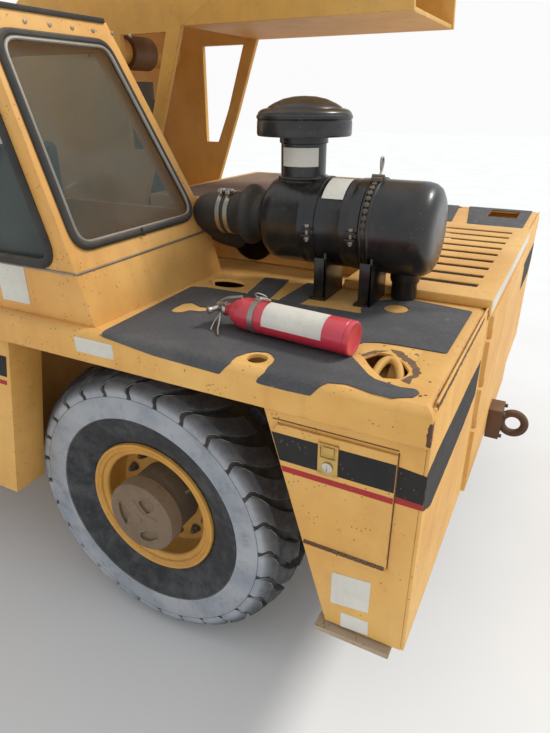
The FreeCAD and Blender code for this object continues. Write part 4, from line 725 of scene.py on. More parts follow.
class Finish(Enum):
    """The finishes that the machine's pieces take."""

    PAINT = Coat("weathered_yellow", "body_paint", hue(217, 161, 78), hue(231, 182, 100), rough=0.48,
                 dust=0.24, chips=0.8, chip_colour=hue(112, 62, 30), runs=0.30, run_colour=hue(166, 100, 38))
    CAB = Coat("rusting_yellow", "body_paint", hue(214, 156, 76), hue(228, 176, 98), rough=0.5, dust=0.3,
               chips=0.95, chip_colour=hue(170, 88, 34), runs=0.24, run_colour=hue(158, 96, 38))
    BOOM = Coat("boom_yellow", "boom_paint", hue(214, 158, 66), hue(226, 174, 88), rough=0.45, dust=0.35,
                chips=0.35, runs=0.25, run_colour=hue(100, 72, 40))
    RIM = Coat("rim_yellow", "rim_paint", hue(205, 141, 44), hue(216, 160, 70), rough=0.42, dust=0.25,
               chips=0.5, runs=0.22, run_colour=hue(96, 60, 28))
    BLACK = Coat("glossy_black", "black_paint", hue(8, 9, 11), hue(15, 16, 19), rough=0.22, coat=0.2, dust=0.09,
                 dust_colour=hue(112, 100, 86), edge=0.35, edge_colour=hue(110, 104, 96), chips=0.28,
                 chip_colour=hue(122, 114, 104), runs=0.10, run_colour=hue(90, 82, 70), relief=0.0002)
    STRIPE = Coat("black_stripe", "black_paint", hue(12, 12, 14), hue(24, 23, 24), rough=0.66, dust=0.03,
                  edge=0.0, chips=0.25, chip_colour=hue(190, 150, 90), runs=0.08, relief=0.0001)
    RED_STRIPE = Coat("red_stripe", "red_paint", hue(160, 24, 30), hue(176, 36, 38), rough=0.6, dust=0.06,
                      edge=0.0, chips=0.2, chip_colour=hue(200, 160, 96), runs=0.06, relief=0.0001)
    RUBBER = Coat("old_rubber", "hose_rubber", hue(30, 30, 31), hue(45, 44, 44), rough=0.62, dust=0.25, edge=0.3,
                  edge_colour=hue(88, 86, 82), chips=0.05, runs=0.12, run_colour=hue(90, 84, 74), grain=420)
    STEEL = Coat("dull_steel", "bare_steel", hue(148, 142, 132), hue(170, 166, 158), rough=0.38, metal=0.9,
                 dust=0.2, edge=0.3, chips=0.3, runs=0.2)
    CLAMP = Coat("bright_clamp", "bare_steel", hue(190, 184, 172), hue(206, 202, 194), rough=0.24, metal=1.0,
                 dust=0.12, edge=0.1, chips=0.08, runs=0.08)
    CHROME = Coat("rod_chrome", "rod_chrome", hue(196, 196, 198), hue(206, 206, 208), rough=0.12, metal=1.0,
                  dust=0.05, edge=0.0, chips=0.02, runs=0.03, relief=0.00005)
    CAST = Coat("cast_iron", "cast_dark", hue(70, 64, 57), hue(88, 80, 70), rough=0.66, dust=0.4, edge=0.5,
                edge_colour=hue(120, 112, 100), chips=0.5, runs=0.3, grain=180, relief=0.0010)
    HUB = Coat("hub_cast", "brown_iron", hue(98, 80, 62), hue(130, 110, 88), rough=0.7, dust=0.3, edge=0.6,
               edge_colour=hue(166, 150, 126), chips=0.9, chip_colour=hue(92, 60, 40), runs=0.5,
               run_colour=hue(84, 60, 42), grain=150, relief=0.0012)
    IRON = Coat("rusty_iron", "brown_iron", hue(84, 56, 40), hue(112, 78, 56), rough=0.8, dust=0.3, edge=0.4,
                edge_colour=hue(132, 104, 80), chips=0.9, chip_colour=hue(52, 36, 30), runs=0.5, grain=140,
                relief=0.0012)
    BOTTLE = Coat("bottle_red", "red_paint", hue(196, 34, 58), hue(208, 46, 70), rough=0.30, coat=0.5, dust=0.14,
                  edge=0.3, edge_colour=hue(120, 30, 40), chips=0.25, chip_colour=hue(120, 40, 44), runs=0.14,
                  run_colour=hue(120, 24, 40), relief=0.0002)
    BLANK = Coat("blank_plate", "bare_steel", hue(206, 202, 190), hue(222, 219, 208), rough=0.55, dust=0.25,
                 edge=0.2, chips=0.3, chip_colour=hue(150, 140, 124), runs=0.25, run_colour=hue(150, 138, 118),
                 relief=0.0002)
    ZINC = Coat("zinc_yellow", "bare_steel", hue(196, 158, 84), hue(208, 178, 112), rough=0.32, metal=0.75,
                dust=0.12, edge=0.4, chips=0.3, runs=0.2, relief=0.0002)
    TRIM = Coat("cab_plastic", "cab_trim", hue(52, 52, 54), hue(66, 66, 68), rough=0.6, dust=0.35, edge=0.2,
                edge_colour=hue(100, 98, 94), chips=0.05, runs=0.1, run_colour=hue(90, 86, 78), grain=500)
    GRIP = Coat("grip_plastic", "wheel_plastic", hue(26, 26, 27), hue(34, 34, 35), rough=0.42, dust=0.15, edge=0.2,
                edge_colour=hue(80, 78, 76), chips=0.02, runs=0.05, grain=600)
    VINYL = Coat("seat_vinyl", "seat_cover", hue(34, 34, 36), hue(46, 46, 48), rough=0.5, dust=0.3, edge=0.3,
                 edge_colour=hue(90, 86, 80), chips=0.06, runs=0.1, run_colour=hue(80, 76, 68), grain=700,
                 relief=0.0005)
    LENS = Coat("lamp_lens", "lamp_lens", hue(206, 206, 198), hue(222, 222, 214), rough=0.08, coat=1.0, dust=0.1,
                edge=0.0, chips=0.0, runs=0.08, grain=160, relief=0.001)
    # painted shadow: this brown stands for the boom's shadow falling on the hood top
    BROWN = Coat("painted_boom_shadow", "black_paint", hue(108, 82, 68), hue(128, 102, 86), rough=0.85, dust=0.3, edge=0.3,
                 chips=0.5, runs=0.2, grain=420, relief=0.0010)
    FOOT = Coat("worn_foot", "bare_steel", hue(150, 128, 106), hue(176, 156, 132), rough=0.8, dust=0.5, edge=0.6,
                chips=0.9, runs=0.5, run_colour=hue(104, 70, 48), grain=160, relief=0.0012)
    # partly painted shade: the brown is oxidised paint, made darker still to stand for the shade inside the turret
    BARREL = Coat("oxide_and_shade_barrel", "brown_iron", hue(86, 62, 40), hue(116, 84, 54), rough=0.45, dust=0.3, edge=0.4,
                  chips=0.4, runs=0.5, grain=160)
    MAT = Grit("anti_slip_grit", "black_paint", hue(78, 78, 80), hue(122, 118, 112))
    TYRE = Tread("tyre_rubber", "tyre")
    GLASS = Pane("window_tint", "window_glass", hue(84, 100, 98))


MATERIALS: dict[Finish, bpy.types.Material] = {}


def finish(piece: Piece, kind: Finish, body: str = "chassis", replaces: Sequence[str] = (),
           smooth: float = 35.0) -> Piece:
    """Give a finished piece its look and its body.

    Args:
        piece: the piece, with its place in its mesh.
        kind: the finish it takes.
        body: the body it moves with.
        replaces: the frame's nodes that it stands for.
        smooth: the angle in degrees under which its faces are shaded as one.

    Returns:
        The piece.
    """
    if kind not in MATERIALS:
        MATERIALS[kind] = kind.value.build()
    pick(piece)
    bpy.ops.object.shade_smooth_by_angle(angle=math.radians(smooth))
    piece.data.materials.clear()
    piece.data.materials.append(MATERIALS[kind])
    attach(piece, body)
    if replaces:
        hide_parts(*replaces)
    LOG.info("%s rides %s", piece.name, body)
    return piece


def fit(name: str, pieces: Sequence[Piece], kind: Finish, body: str = "chassis", **settings: object) -> Piece:
    """Join pieces under one name and finish them."""
    return finish(joined(name, pieces), kind, body, **settings)


def dress(node: str, kind: Finish, edge: float = 3.0, name: str = "",
          shape: Callable[[Piece], object] | None = None, merge: bool = False) -> Piece:
    """A copy of a frame node with its points merged, shaped and its edges rounded, in its place."""
    source = frame["nodes"][node]
    piece = source.copy()
    piece.data = source.data.copy()
    piece.parent = None
    for key in list(piece.keys()):
        del piece[key]
    bpy.context.scene.collection.objects.link(piece)
    piece.name = piece.data.name = name or f"{node}_dressed"
    with editing(piece):
        bpy.ops.mesh.remove_doubles(threshold=1e-5)
        if merge:
            bpy.ops.mesh.dissolve_limited(angle_limit=math.radians(1.0))
    if shape:
        shape(piece)
    if edge:
        soften(piece, edge, 2, 40)
    body = next(key for key, value in frame["record"]["behaviour"]["bodies"].items() if node in value)
    return finish(piece, kind, body, (node,))


@dataclass
class Wheels:
    """Four wheels with lugged tyres, stepped rims, hubs and nuts."""

    station: tuple[float, float] = (817, 3267)
    height: float = 462
    middle: float = 836
    lugs: int = 28
    disc: float = 14

    def build(self) -> None:
        """Make one tyre and one rim of each kind and copy them to the four places."""
        tyre = self.tyre()
        rims = {"rear": self.rim(118, 164), "front": self.rim(95, 67)}
        for end, station in zip(ENDS, self.station):
            for name, side in SIDES:
                place = Matrix.Translation(spot(station, side * self.middle, self.height))
                turn = place if side > 0 else place @ MIRROR
                body = f"wheel_{end}_{name}"
                rubber = copied(tyre, turn, f"lugged_tyre_{end}_{name}")
                self.mark(rubber, station, side)
                finish(rubber, Finish.TYRE, body, (f"tyre_{end}_{name}",), 40)
                rim, hub, nuts = rims[end]
                finish(copied(rim, turn, f"stepped_rim_{end}_{name}"), Finish.RIM, body, (f"rim_{end}_{name}",))
                finish(copied(hub, turn, f"hub_{end}_{name}"), Finish.HUB, body, smooth=40)
                finish(copied(nuts, turn, f"wheel_nuts_{end}_{name}"), Finish.CAST, body)
        for piece in (tyre, *rims["rear"], *rims["front"]):
            bpy.data.objects.remove(piece)

    def mark(self, tyre: Piece, station: float, side: int) -> None:
        """Store each point's distance from the axle and outward on the tyre."""
        centre = spot(station, side * self.middle, self.height)
        radial = tyre.data.attributes.new("radial", "FLOAT", "POINT")
        outward = tyre.data.attributes.new("outward", "FLOAT", "POINT")
        for vertex in tyre.data.vertices:
            away = vertex.co - centre
            radial.data[vertex.index].value = math.hypot(away.x, away.z)
            outward.data[vertex.index].value = away.y * side

    def tyre(self) -> Piece:
        """The carcass with a row of slanted lugs on each shoulder."""
        half = [(204, 90), (213, 98), (222.5, 101), (230, 105), (262, 119), (296, 131), (312, 135), (317, 135.6),
                (319.5, 138.8), (324, 139), (386, 139), (396, 135.5), (412, 126), (424, 110), (431, 84), (434, 50)]
        profile = [(r, -y) for r, y in half] + [(434, 0)] + [(r, y) for r, y in reversed(half)]
        carcass = lathe("carcass", profile + profile[:1], (MIDDLE, 0, 0), ACROSS, 112)
        lug = self.lug()
        for piece in (carcass, lug):
            mask = piece.data.attributes.new("lug", "FLOAT", "POINT")
            for vertex in piece.data.vertices:
                away = math.hypot(vertex.co.x, vertex.co.z)
                foot = 0.3835 if vertex.co.y > 0.134 else 0.405 if vertex.co.y > 0.110 else 0.43
                mask.data[vertex.index].value = float(piece is lug and away > foot)
        pieces = [carcass]
        for index in range(self.lugs):
            turn = Matrix.Rotation(index * 2 * math.pi / self.lugs, 4, "Y")
            pieces += [copied(lug, turn, "lug"), copied(lug, MIRROR @ turn, "lug")]
        bpy.data.objects.remove(lug)
        return joined("tyre_model", pieces)

    def lug(self) -> Piece:
        """One shoulder lug: a grid drawn flat, given depth, then bent over the tyre's shoulder."""
        # Reach, top radius, foot reach, foot radius, middle and width of the groove behind it in lug pitches.
        rows = (
            (138.9, 385, 132, 380, 0.90, 0.15), (138.9, 398, 130, 384, 0.90, 0.16), (137, 408, 126, 388, 0.84, 0.17),
            (129, 419, 118, 396, 0.80, 0.18), (119, 429, 108, 404, 0.92, 0.20), (106, 440, 98, 412, 1.22, 0.24),
            (84, 449, 80, 420, 1.48, 0.30), (56, 457, 55, 424, 1.68, 0.37), (28, 462, 29, 426, 1.79, 0.42))
        clear()
        bpy.ops.mesh.primitive_grid_add(x_subdivisions=3, y_subdivisions=len(rows) - 1, size=2)
        piece = bpy.context.object
        bpy.ops.object.mode_set(mode="EDIT")
        bpy.ops.mesh.select_all(action="SELECT")
        bpy.ops.mesh.extrude_region_move(TRANSFORM_OT_translate={"value": (0, 0, 1)})
        bpy.ops.object.mode_set(mode="OBJECT")
        pitch = 2 * math.pi / self.lugs
        for vertex in piece.data.vertices:
            reach, radius, low_reach, low_radius, groove, width = rows[round((1 - vertex.co.y) / 2 * (len(rows) - 1))]
            if vertex.co.z < 0.5:
                reach, radius = low_reach, low_radius
            start, end = groove + width / 2 - 1, groove - width / 2
            angle = (start + (vertex.co.x + 1) / 2 * (end - start)) * pitch
            vertex.co = Vector((-math.sin(angle) * radius, reach, math.cos(angle) * radius)) * MM
        settle(piece, "lug")
        tidy(piece)
        return soften(piece, 2.5, 1, 30)

    def rim(self, hub: float, face: float) -> tuple[Piece, ...]:
        """A stepped rim, its hub and its nuts."""
        origin = (MIDDLE, 0, 0)
        disc = self.disc
        profile = [
            (221, 103), (221, 110), (219, 113.2), (216, 114), (212.5, 112.8), (210, 109.5), (207, 107), (204, 107),
            (202.4, 109), (199.6, 109.4), (197.4, 107.4), (196, 103), (192, 101.4), (186, 100.4), (181, 98),
            (178.6, 95), (178.2, 90), (179, 84), (181, 76), (181, disc + 14), (178, disc + 4), (171, disc),
            (160, disc - 1), (hub * 0.86, disc - 1), (hub * 0.86, disc - 12), (160, disc - 13), (176, disc - 15),
            (181, disc - 20), (181, -42), (195, -57), (195, -94), (213, -113.6), (221, -113.6), (221, -102),
            (203, -98), (203, -54), (189, -39), (189, 54), (203, 69), (203, 98), (221, 103)]
        rim = lathe("rim_model", profile, origin, ACROSS, 96)
        back, share = max(face - 56, disc - 4), hub / 118
        shell = [(0, disc - 30), (hub * 0.5, disc - 30), (hub * 0.5, back + 2), (hub - 6, back), (hub - 3, back + 3),
                 (hub - 3, face - 10), (hub - 4, face - 6), (hub - 8, face - 4), (hub * 0.86, face - 3.6),
                 (hub * 0.82, face - 5.4), (hub * 0.3, face - 5), (0, face - 5)]
        body = lathe("hub_model", shell, origin, ACROSS, 72)
        lobes = [
            [(80, 33), (84, 5), (80, -19), (69, -42), (61, -52), (50, -30), (47, -1), (60, 17), (73, 35)],
            [(10, -58), (14, -76), (4, -86), (-23, -84), (-44, -70), (-60, -54), (-50, -43), (-35, -36), (-15, -41)],
            [(4, 61), (-17, 74), (-39, 76), (-50, 62), (-44, 38), (-29, 19), (-14, 30), (0, 45)]]
        ridges = []
        for lobe in lobes:
            outline = rounded([(MIDDLE + x * share, z * share) for x, z in lobe], 9, 3)
            body = carved(body, flat("pocket", Face.SIDE, [outline], face - 13, 16))
            ridges.append(hoop("ridge", [(x, face - 5, z) for x, z in outline], 2.6, 2))
        rib = [(20, 58), (7, 28), (-22, 13), (-41, 14), (-62, 8)]
        ridges.append(pipe("rib", [(MIDDLE + x * share, face - 4.5, z * share) for x, z in rib], 2.8, True, 2))
        ridges.append(lathe("boss", [(0, -2), (14, -2), (16, 0), (15, 3), (6, 4), (0, 4)],
                            (MIDDLE + 14 * share, face - 5, -8 * share), ACROSS, 24))
        body = joined("hub_model", [body, *ridges])
        nuts = [lathe("hub_neck", oblong(0, disc - 24, hub * 0.90, back + 5), origin, ACROSS, 64)]
        for index in range(12):
            angle = math.radians(21 + index * 30)
            x, z = MIDDLE + 145 * math.cos(angle), 145 * math.sin(angle)
            nuts.append(drum("washer", (x, disc - 2, z), (x, disc + 3, z), 15, sides=20, edge=0.6))
            nuts.append(drum("nut", (x, disc + 3, z), (x, disc + 17, z), 12.5, sides=6, edge=1.2))
            nuts.append(drum("stud", (x, disc + 17, z), (x, disc + 26, z), 7, sides=12, edge=1))
        angle = math.radians(144)
        stem = [(MIDDLE + r * math.cos(angle), y, r * math.sin(angle)) for r, y in ((181, 60), (170, 64), (150, 92))]
        nuts.append(pipe("valve", stem, 4.5, True, 3))
        return rim, body, joined("nuts_model", nuts)


@dataclass
class Decks:
    """Deck sheets with their anti-slip mats, the hatch collar and the welds."""

    top: float = DECK
    mat: float = 2.6
    roll: float = 26

    def build(self) -> None:
        """Dress the decks and lay what is on them."""
        dress("rear_deck", Finish.PAINT, 3.0, shape=self.shape_rear, merge=True)
        dress("front_deck", Finish.PAINT, 3.0, shape=self.roll_edges, merge=True)
        dress("hood_grille", Finish.PAINT, 2.5)
        finish(block("radiator_core", (44, -436, 1040), (376, 436, 1046), 1), Finish.BLACK)
        self.mats()
        self.collar()
        self.welds()

    def roll_edges(self, deck: Piece) -> None:
        """Roll the outer top edges of a deck, outside and inside of its sheet."""
        for depth, radius in ((0.0, self.roll), (8.0, self.roll - 8)):
            side, top = (HALF_WIDTH - depth) * MM, (self.top - depth) * MM
            rolled(deck, lambda at: abs(abs(at.y) - side) < 2e-4 and abs(at.z - top) < 2e-4, radius)

    def shape_rear(self, deck: Piece) -> None:
        """Roll the rear deck's edges and cut the oval hole beside the cab."""
        self.roll_edges(deck)
        oval = [(724 + 60 * math.cos(a * math.pi / 16), 616 + 38 * math.sin(a * math.pi / 16)) for a in range(32)]
        carved(deck, flat("oval", Face.TOP, [oval], self.top - 30, 60))

    def bent(self, mat: Piece) -> None:
        """Lay the outer part of a flat mat over the deck's rolled edge."""
        start, low = (HALF_WIDTH - self.roll) * MM, (self.top - self.roll) * MM
        for vertex in mat.data.vertices:
            side = 1 if vertex.co.y > 0 else -1
            run, above = abs(vertex.co.y) - start, vertex.co.z - self.top * MM
            if run <= 0:
                continue
            turn = min(run / (self.roll * MM), math.pi / 2)
            reach = self.roll * MM + above * (1 - 1.2 * turn / math.pi) - 0.0001
            vertex.co.y = side * (start + reach * math.sin(turn))
            vertex.co.z = low + reach * math.cos(turn) - max(run - self.roll * MM * math.pi / 2, 0)

    def sheet(self, outline: Outline, *holes: Outline) -> Piece:
        """An anti-slip sheet on the deck."""
        return flat("mat", Face.TOP, [outline, *holes], self.top, self.mat, 0.5)

    def stain(self, outline: Outline) -> Piece:
        """A thin patch on the deck."""
        return flat("stain", Face.TOP, [outline], self.top + 0.05, 0.3)

    def collar(self) -> None:
        """The plate with the small worn hole over the left stabiliser, the loop in it and the rust round it."""
        hole = [(186, 938), (166, 899), (140, 897), (104, 927), (78, 967), (88, 1004), (121, 1016), (160, 975)]
        plate = flat("hatch_collar", Face.TOP, [oblong(72, 838, 217, 1032), rounded(hole, 12)], self.top - 7, 6.9, 0.8)
        finish(plate, Finish.PAINT)
        outer = [(150, 876), (128, 872), (88, 908), (58, 962), (70, 1018), (84, 1010), (72, 968), (98, 922), (136, 890)]
        inner = [(196, 930), (176, 893), (150, 884), (164, 896), (188, 938)]
        rust = [self.stain(jagged(outer, 3.2)), self.stain(jagged(inner, 2.4))]
        for _ in range(26):
            x, y, size = random.uniform(24, 205), random.uniform(836, 1060), random.uniform(1.2, 3.6)
            if not (70 < x < 192 and 890 < y < 1020):
                rust.append(self.stain(jagged(oblong(x - size, y - size, x + size, y + size), size * 0.4, 4)))
        fit("hatch_rust", rust, Finish.IRON)
        loop = [(176, 1010, 1084), (166, 1000, 1066), (153, 975, 1062), (154, 958, 1070), (149, 928, 1085),
                (134, 912, 1089), (115, 926, 1087), (100, 956, 1078), (94, 980, 1064), (92, 1006, 1066),
                (90, 1020, 1084)]
        finish(pipe("lifting_loop", loop, 9, True, 4), Finish.BOOM)

    def mats(self) -> None:
        """The cut anti-slip sheets on both sides of the rear deck."""
        tab = [(444, 1117), (424, 1089), (424, 1061), (413, 1033), (399, 1019), (376, 1012), (362, 1019), (347, 1035),
               (341, 1056), (341, 1092), (362, 1117)]
        finger = [(288, 1118), (236, 1117), (221, 1097), (208, 1083), (172, 1076), (120, 1085), (80, 1086),
                  (46, 1070), (39, 1048), (50, 1036), (78, 1042), (131, 1031), (150, 1016), (178, 984), (216, 941),
                  (227, 905), (212, 864), (180, 850), (135, 845), (34, 843)]
        inner = [(33, 545), (196, 521), (236, 540), (300, 590), (292, 660), (278, 690), (366, 690), (448, 694),
                 (543, 692), (623, 680), (751, 683), (795, 696), (775, 1094), (617, 1110), (490, 1115)]
        wave = [(723, 891), (728, 867), (728, 831), (712, 814), (675, 831), (636, 828), (629, 842), (653, 863),
                (680, 868), (689, 890), (707, 900)]
        ring = [(212 + 32 * math.cos(a * math.pi / 8), 612 + 34 * math.sin(a * math.pi / 8)) for a in range(16)]
        mat = self.sheet(rounded([*inner, *tab, *finger], 9, 3), rounded(wave, 14), ring)
        self.bent(sliced(mat, 1, [1074 + 5 * step for step in range(9)]))
        mats = [mat]
        strips = [(620, 676), (650, 517), (573, 505), (543, 688)], [(515, 690), (512, 508), (440, 505), (452, 688)]
        mats += [self.sheet(rounded(strip, 6)) for strip in strips]
        rear = [(34, -1086), (330, -1086), (330, -1070), (250, -560), (34, -545)]
        mats.append(self.sheet(rounded(rear, 10), oblong(82, -842, 213, -1028)))
        mats.append(self.sheet(rounded([(380, -1086), (780, -1086), (800, -700), (450, -690), (330, -640)], 10)))
        fit("rear_mats", mats, Finish.MAT)
        # painted shadow: a thin brown sheet over the hood top stands for the boom's shadow on it
        finish(flat("hood_painted_shadow", Face.TOP, [rounded(oblong(430, -352, 1150, 352), 18)], HOOD, 0.8), Finish.BROWN)
        front = [self.sheet(rounded(oblong(x, low, x + 640, high), 24))
                 for low, high in ((420, 1085), (-1085, -420)) for x in (2740, 3440)]
        fit("front_mats", front, Finish.MAT)

    def welds(self) -> None:
        """Weld beads where upright pieces meet the deck, and its worn corner."""
        fit("deck_welds", [pipe("bead", [(2, side * 470, DECK + 1), (2, side * 1070, DECK + 1)], 3, False, 2)
                           for side in (1, -1)], Finish.PAINT)
        chips = (
            (Face.TOP, [(-0.3, 470), (5, 470), (6, 1070), (-0.3, 1070)], 1.6, 9, self.top + 0.05, 0.3),
            (Face.END, [(560, 1080), (1070, 1078), (1070, 1093), (560, 1093)], 3.0, 9, -0.5, 0.4),
            (Face.SIDE, [(0, 1016), (8, 1016), (6, 1064), (0, 1064)], 2.0, 8, 1099.8, 0.3),
            (Face.END, [(1086, 1014), (1099, 1014), (1099, 1064), (1084, 1064)], 2.5, 8, -0.5, 0.4))
        fit("worn_deck_edge", [flat("chip", face, [jagged(outline, rough, step)], start, thick)
                               for face, outline, rough, step, start, thick in chips], Finish.IRON)


@dataclass
class Panels:
    """Side and rear panels: boxes, doors with latches and hinges, stripes and blank plates."""

    skin: float = 1079.0
    door: float = 1085.5

    def build(self) -> None:
        """Dress the boxes and panels and add what is fixed to them."""
        for node in ("outrigger_boxes_rear", "outrigger_boxes_front", "rear_plate", "side_bodies"):
            dress(node, Finish.PAINT, 2.5)
        for end in ENDS:
            for name, _ in SIDES:
                dress(f"outrigger_leg_{end}_{name}", Finish.BOOM, 3.0)
        for name, side in SIDES:
            self.box_door(name, side)
        self.stripes()
        self.plates()

    def band(self, outline: Outline, side: int, level: float, thick: float = 0.5) -> Piece:
        """A thin sheet on a side, drawn as station and height."""
        return flat("band", Face.SIDE, [outline], level if side > 0 else -level - thick, thick)

    def box_door(self, name: str, side: int) -> None:
        """The leaf with its paddle latch, lock and hinge, and the stripes that cross it."""
        body = f"box_door_{name}"
        level = self.door
        low, high = sorted((side * (level + 0.02), side * (level + 20)))
        dress(body, Finish.PAINT, 2.0,
              shape=lambda leaf: carved(leaf, block("cut", (150, low, 860), (250, high, 975))))
        black = [self.band(oblong(58.5, 951, 176, 885), side, level),
                 self.band([(221, 951), (329, 951), (310, 885), (221, 885)], side, level)]
        fit(f"door_stripe_{name}", black, Finish.STRIPE, body)
        red = [self.band([(58.5, 872), (306, 872), (302, 858), (58.5, 858)], side, level)]
        fit(f"door_red_stripe_{name}", red, Finish.RED_STRIPE, body)

        def at(x: float, out: float, z: float) -> Place:
            """A point a distance outside the leaf."""
            return x, side * (level + out), z

        cup = carved(block("cup", at(176, -1, 882), at(221, 4.5, 958), 1.6),
                     block("well", at(182, 0.5, 925), at(215, 9, 953), 3))
        paddle = block("paddle", at(186, -0.5, 929), at(211, 2.4, 949), 1.4)
        lip = hoop("lip", [at(x, 4.4, z) for x, z in oblong(181, 924, 216, 954)], 1.1, 2)
        screws = [drum("screw", at(x, 4, z), at(x, 5.4, z), 3, sides=12, edge=0.4)
                  for x, z in ((180, 886), (217, 886), (180, 956), (217, 956))]
        fit(f"latch_{name}", [cup, paddle, lip, *screws], Finish.ZINC, body)
        lock = lathe(f"lock_{name}", [(0, 0), (11.5, 0), (11.5, 2.6), (9.5, 3.4), (8.6, 3.4), (8.4, 2.6), (0, 2.6)],
                     at(198, 5.4, 904), Vector((0, side, 0)), 32)
        finish(carved(lock, block("slit", at(196.6, 6, 898), at(199.4, 12, 910))), Finish.CLAMP, body)
        knuckles = [drum("knuckle", at(start, 0.2, 686), at(start + 15.6, 0.2, 686), 5.2, sides=14, edge=0.8)
                    for start in range(62, 62 + 11 * 17, 17)]
        fit(f"hinge_knuckles_{name}", knuckles, Finish.IRON, body)
        gap = [pipe("gap", [(x, side * (self.skin + out), z) for x, out, z in line], 1.3, False, 2)
               for line in (((57, 0.4, 976), (57, 0.4, 684)), ((58, 0.3, 980), (329, 0.3, 980)))]
        fit(f"rusted_gap_{name}", gap, Finish.IRON)

    def stripes(self) -> None:
        """The black and red stripes on the fixed panels."""
        black, red = [], []
        for _, side in SIDES:
            black.append(self.band([(0.5, 939), (57, 945), (57, 873), (0.5, 872)], side, self.skin))
            red.append(self.band(oblong(0.5, 872, 57, 858), side, self.skin))
            rear = [(side * y, z) for y, z in ((1078.5, 946), (1005, 952), (600, 946), (478, 938), (484, 836),
                                               (640, 820), (800, 816), (1000, 814), (1078.5, 858))]
            black.append(flat("stripe", Face.END, [jagged(rear, 1.2, 16)], -0.6, 0.5))
        black.append(self.band([(1150, 951), (1325, 951), (1325, 885), (1166, 885)], 1, self.skin))
        red.append(self.band([(1170, 872), (1325, 872), (1325, 858), (1174, 858)], 1, self.skin))
        black.append(self.band(oblong(1332, 951, 2529, 885), -1, self.skin))
        red.append(self.band(oblong(1332, 872, 2529, 858), -1, self.skin))
        fit("body_stripe", black, Finish.STRIPE)
        fit("body_red_stripe", red, Finish.RED_STRIPE)

    def plates(self) -> None:
        """Blank plates where the machine carries its notices."""
        plates = [
            self.band(rounded([(88, 537), (179, 525), (179, 618), (88, 628)], 3), 1, self.skin, 0.8),
            self.band(rounded([(84, 468), (151, 462), (152, 507), (86, 509)], 3), 1, self.skin, 0.8),
            self.band(rounded(oblong(736, 1036, 854, 1074), 3), 1, HALF_WIDTH - 0.6, 0.6),
            flat("plate", Face.END, [rounded(oblong(-480, 1072, 480, 1110), 3)], -6.8, 0.7)]
        fit("blank_plates", plates, Finish.BLANK)
        for end in ENDS:
            for name, _ in SIDES:
                low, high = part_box(f"outrigger_leg_{end}_{name}")
                corners = [[(at[0] + grow - REAR) / MM, (at[1] + grow) / MM, (low[2] + level) / MM]
                           for at, grow, level in ((low, -0.0008, 0.0002), (high, 0.0008, 0.0146))]
                finish(block(f"foot_wear_{end}_{name}", *corners, 0.6), Finish.FOOT, f"leg_{end}_{name}")


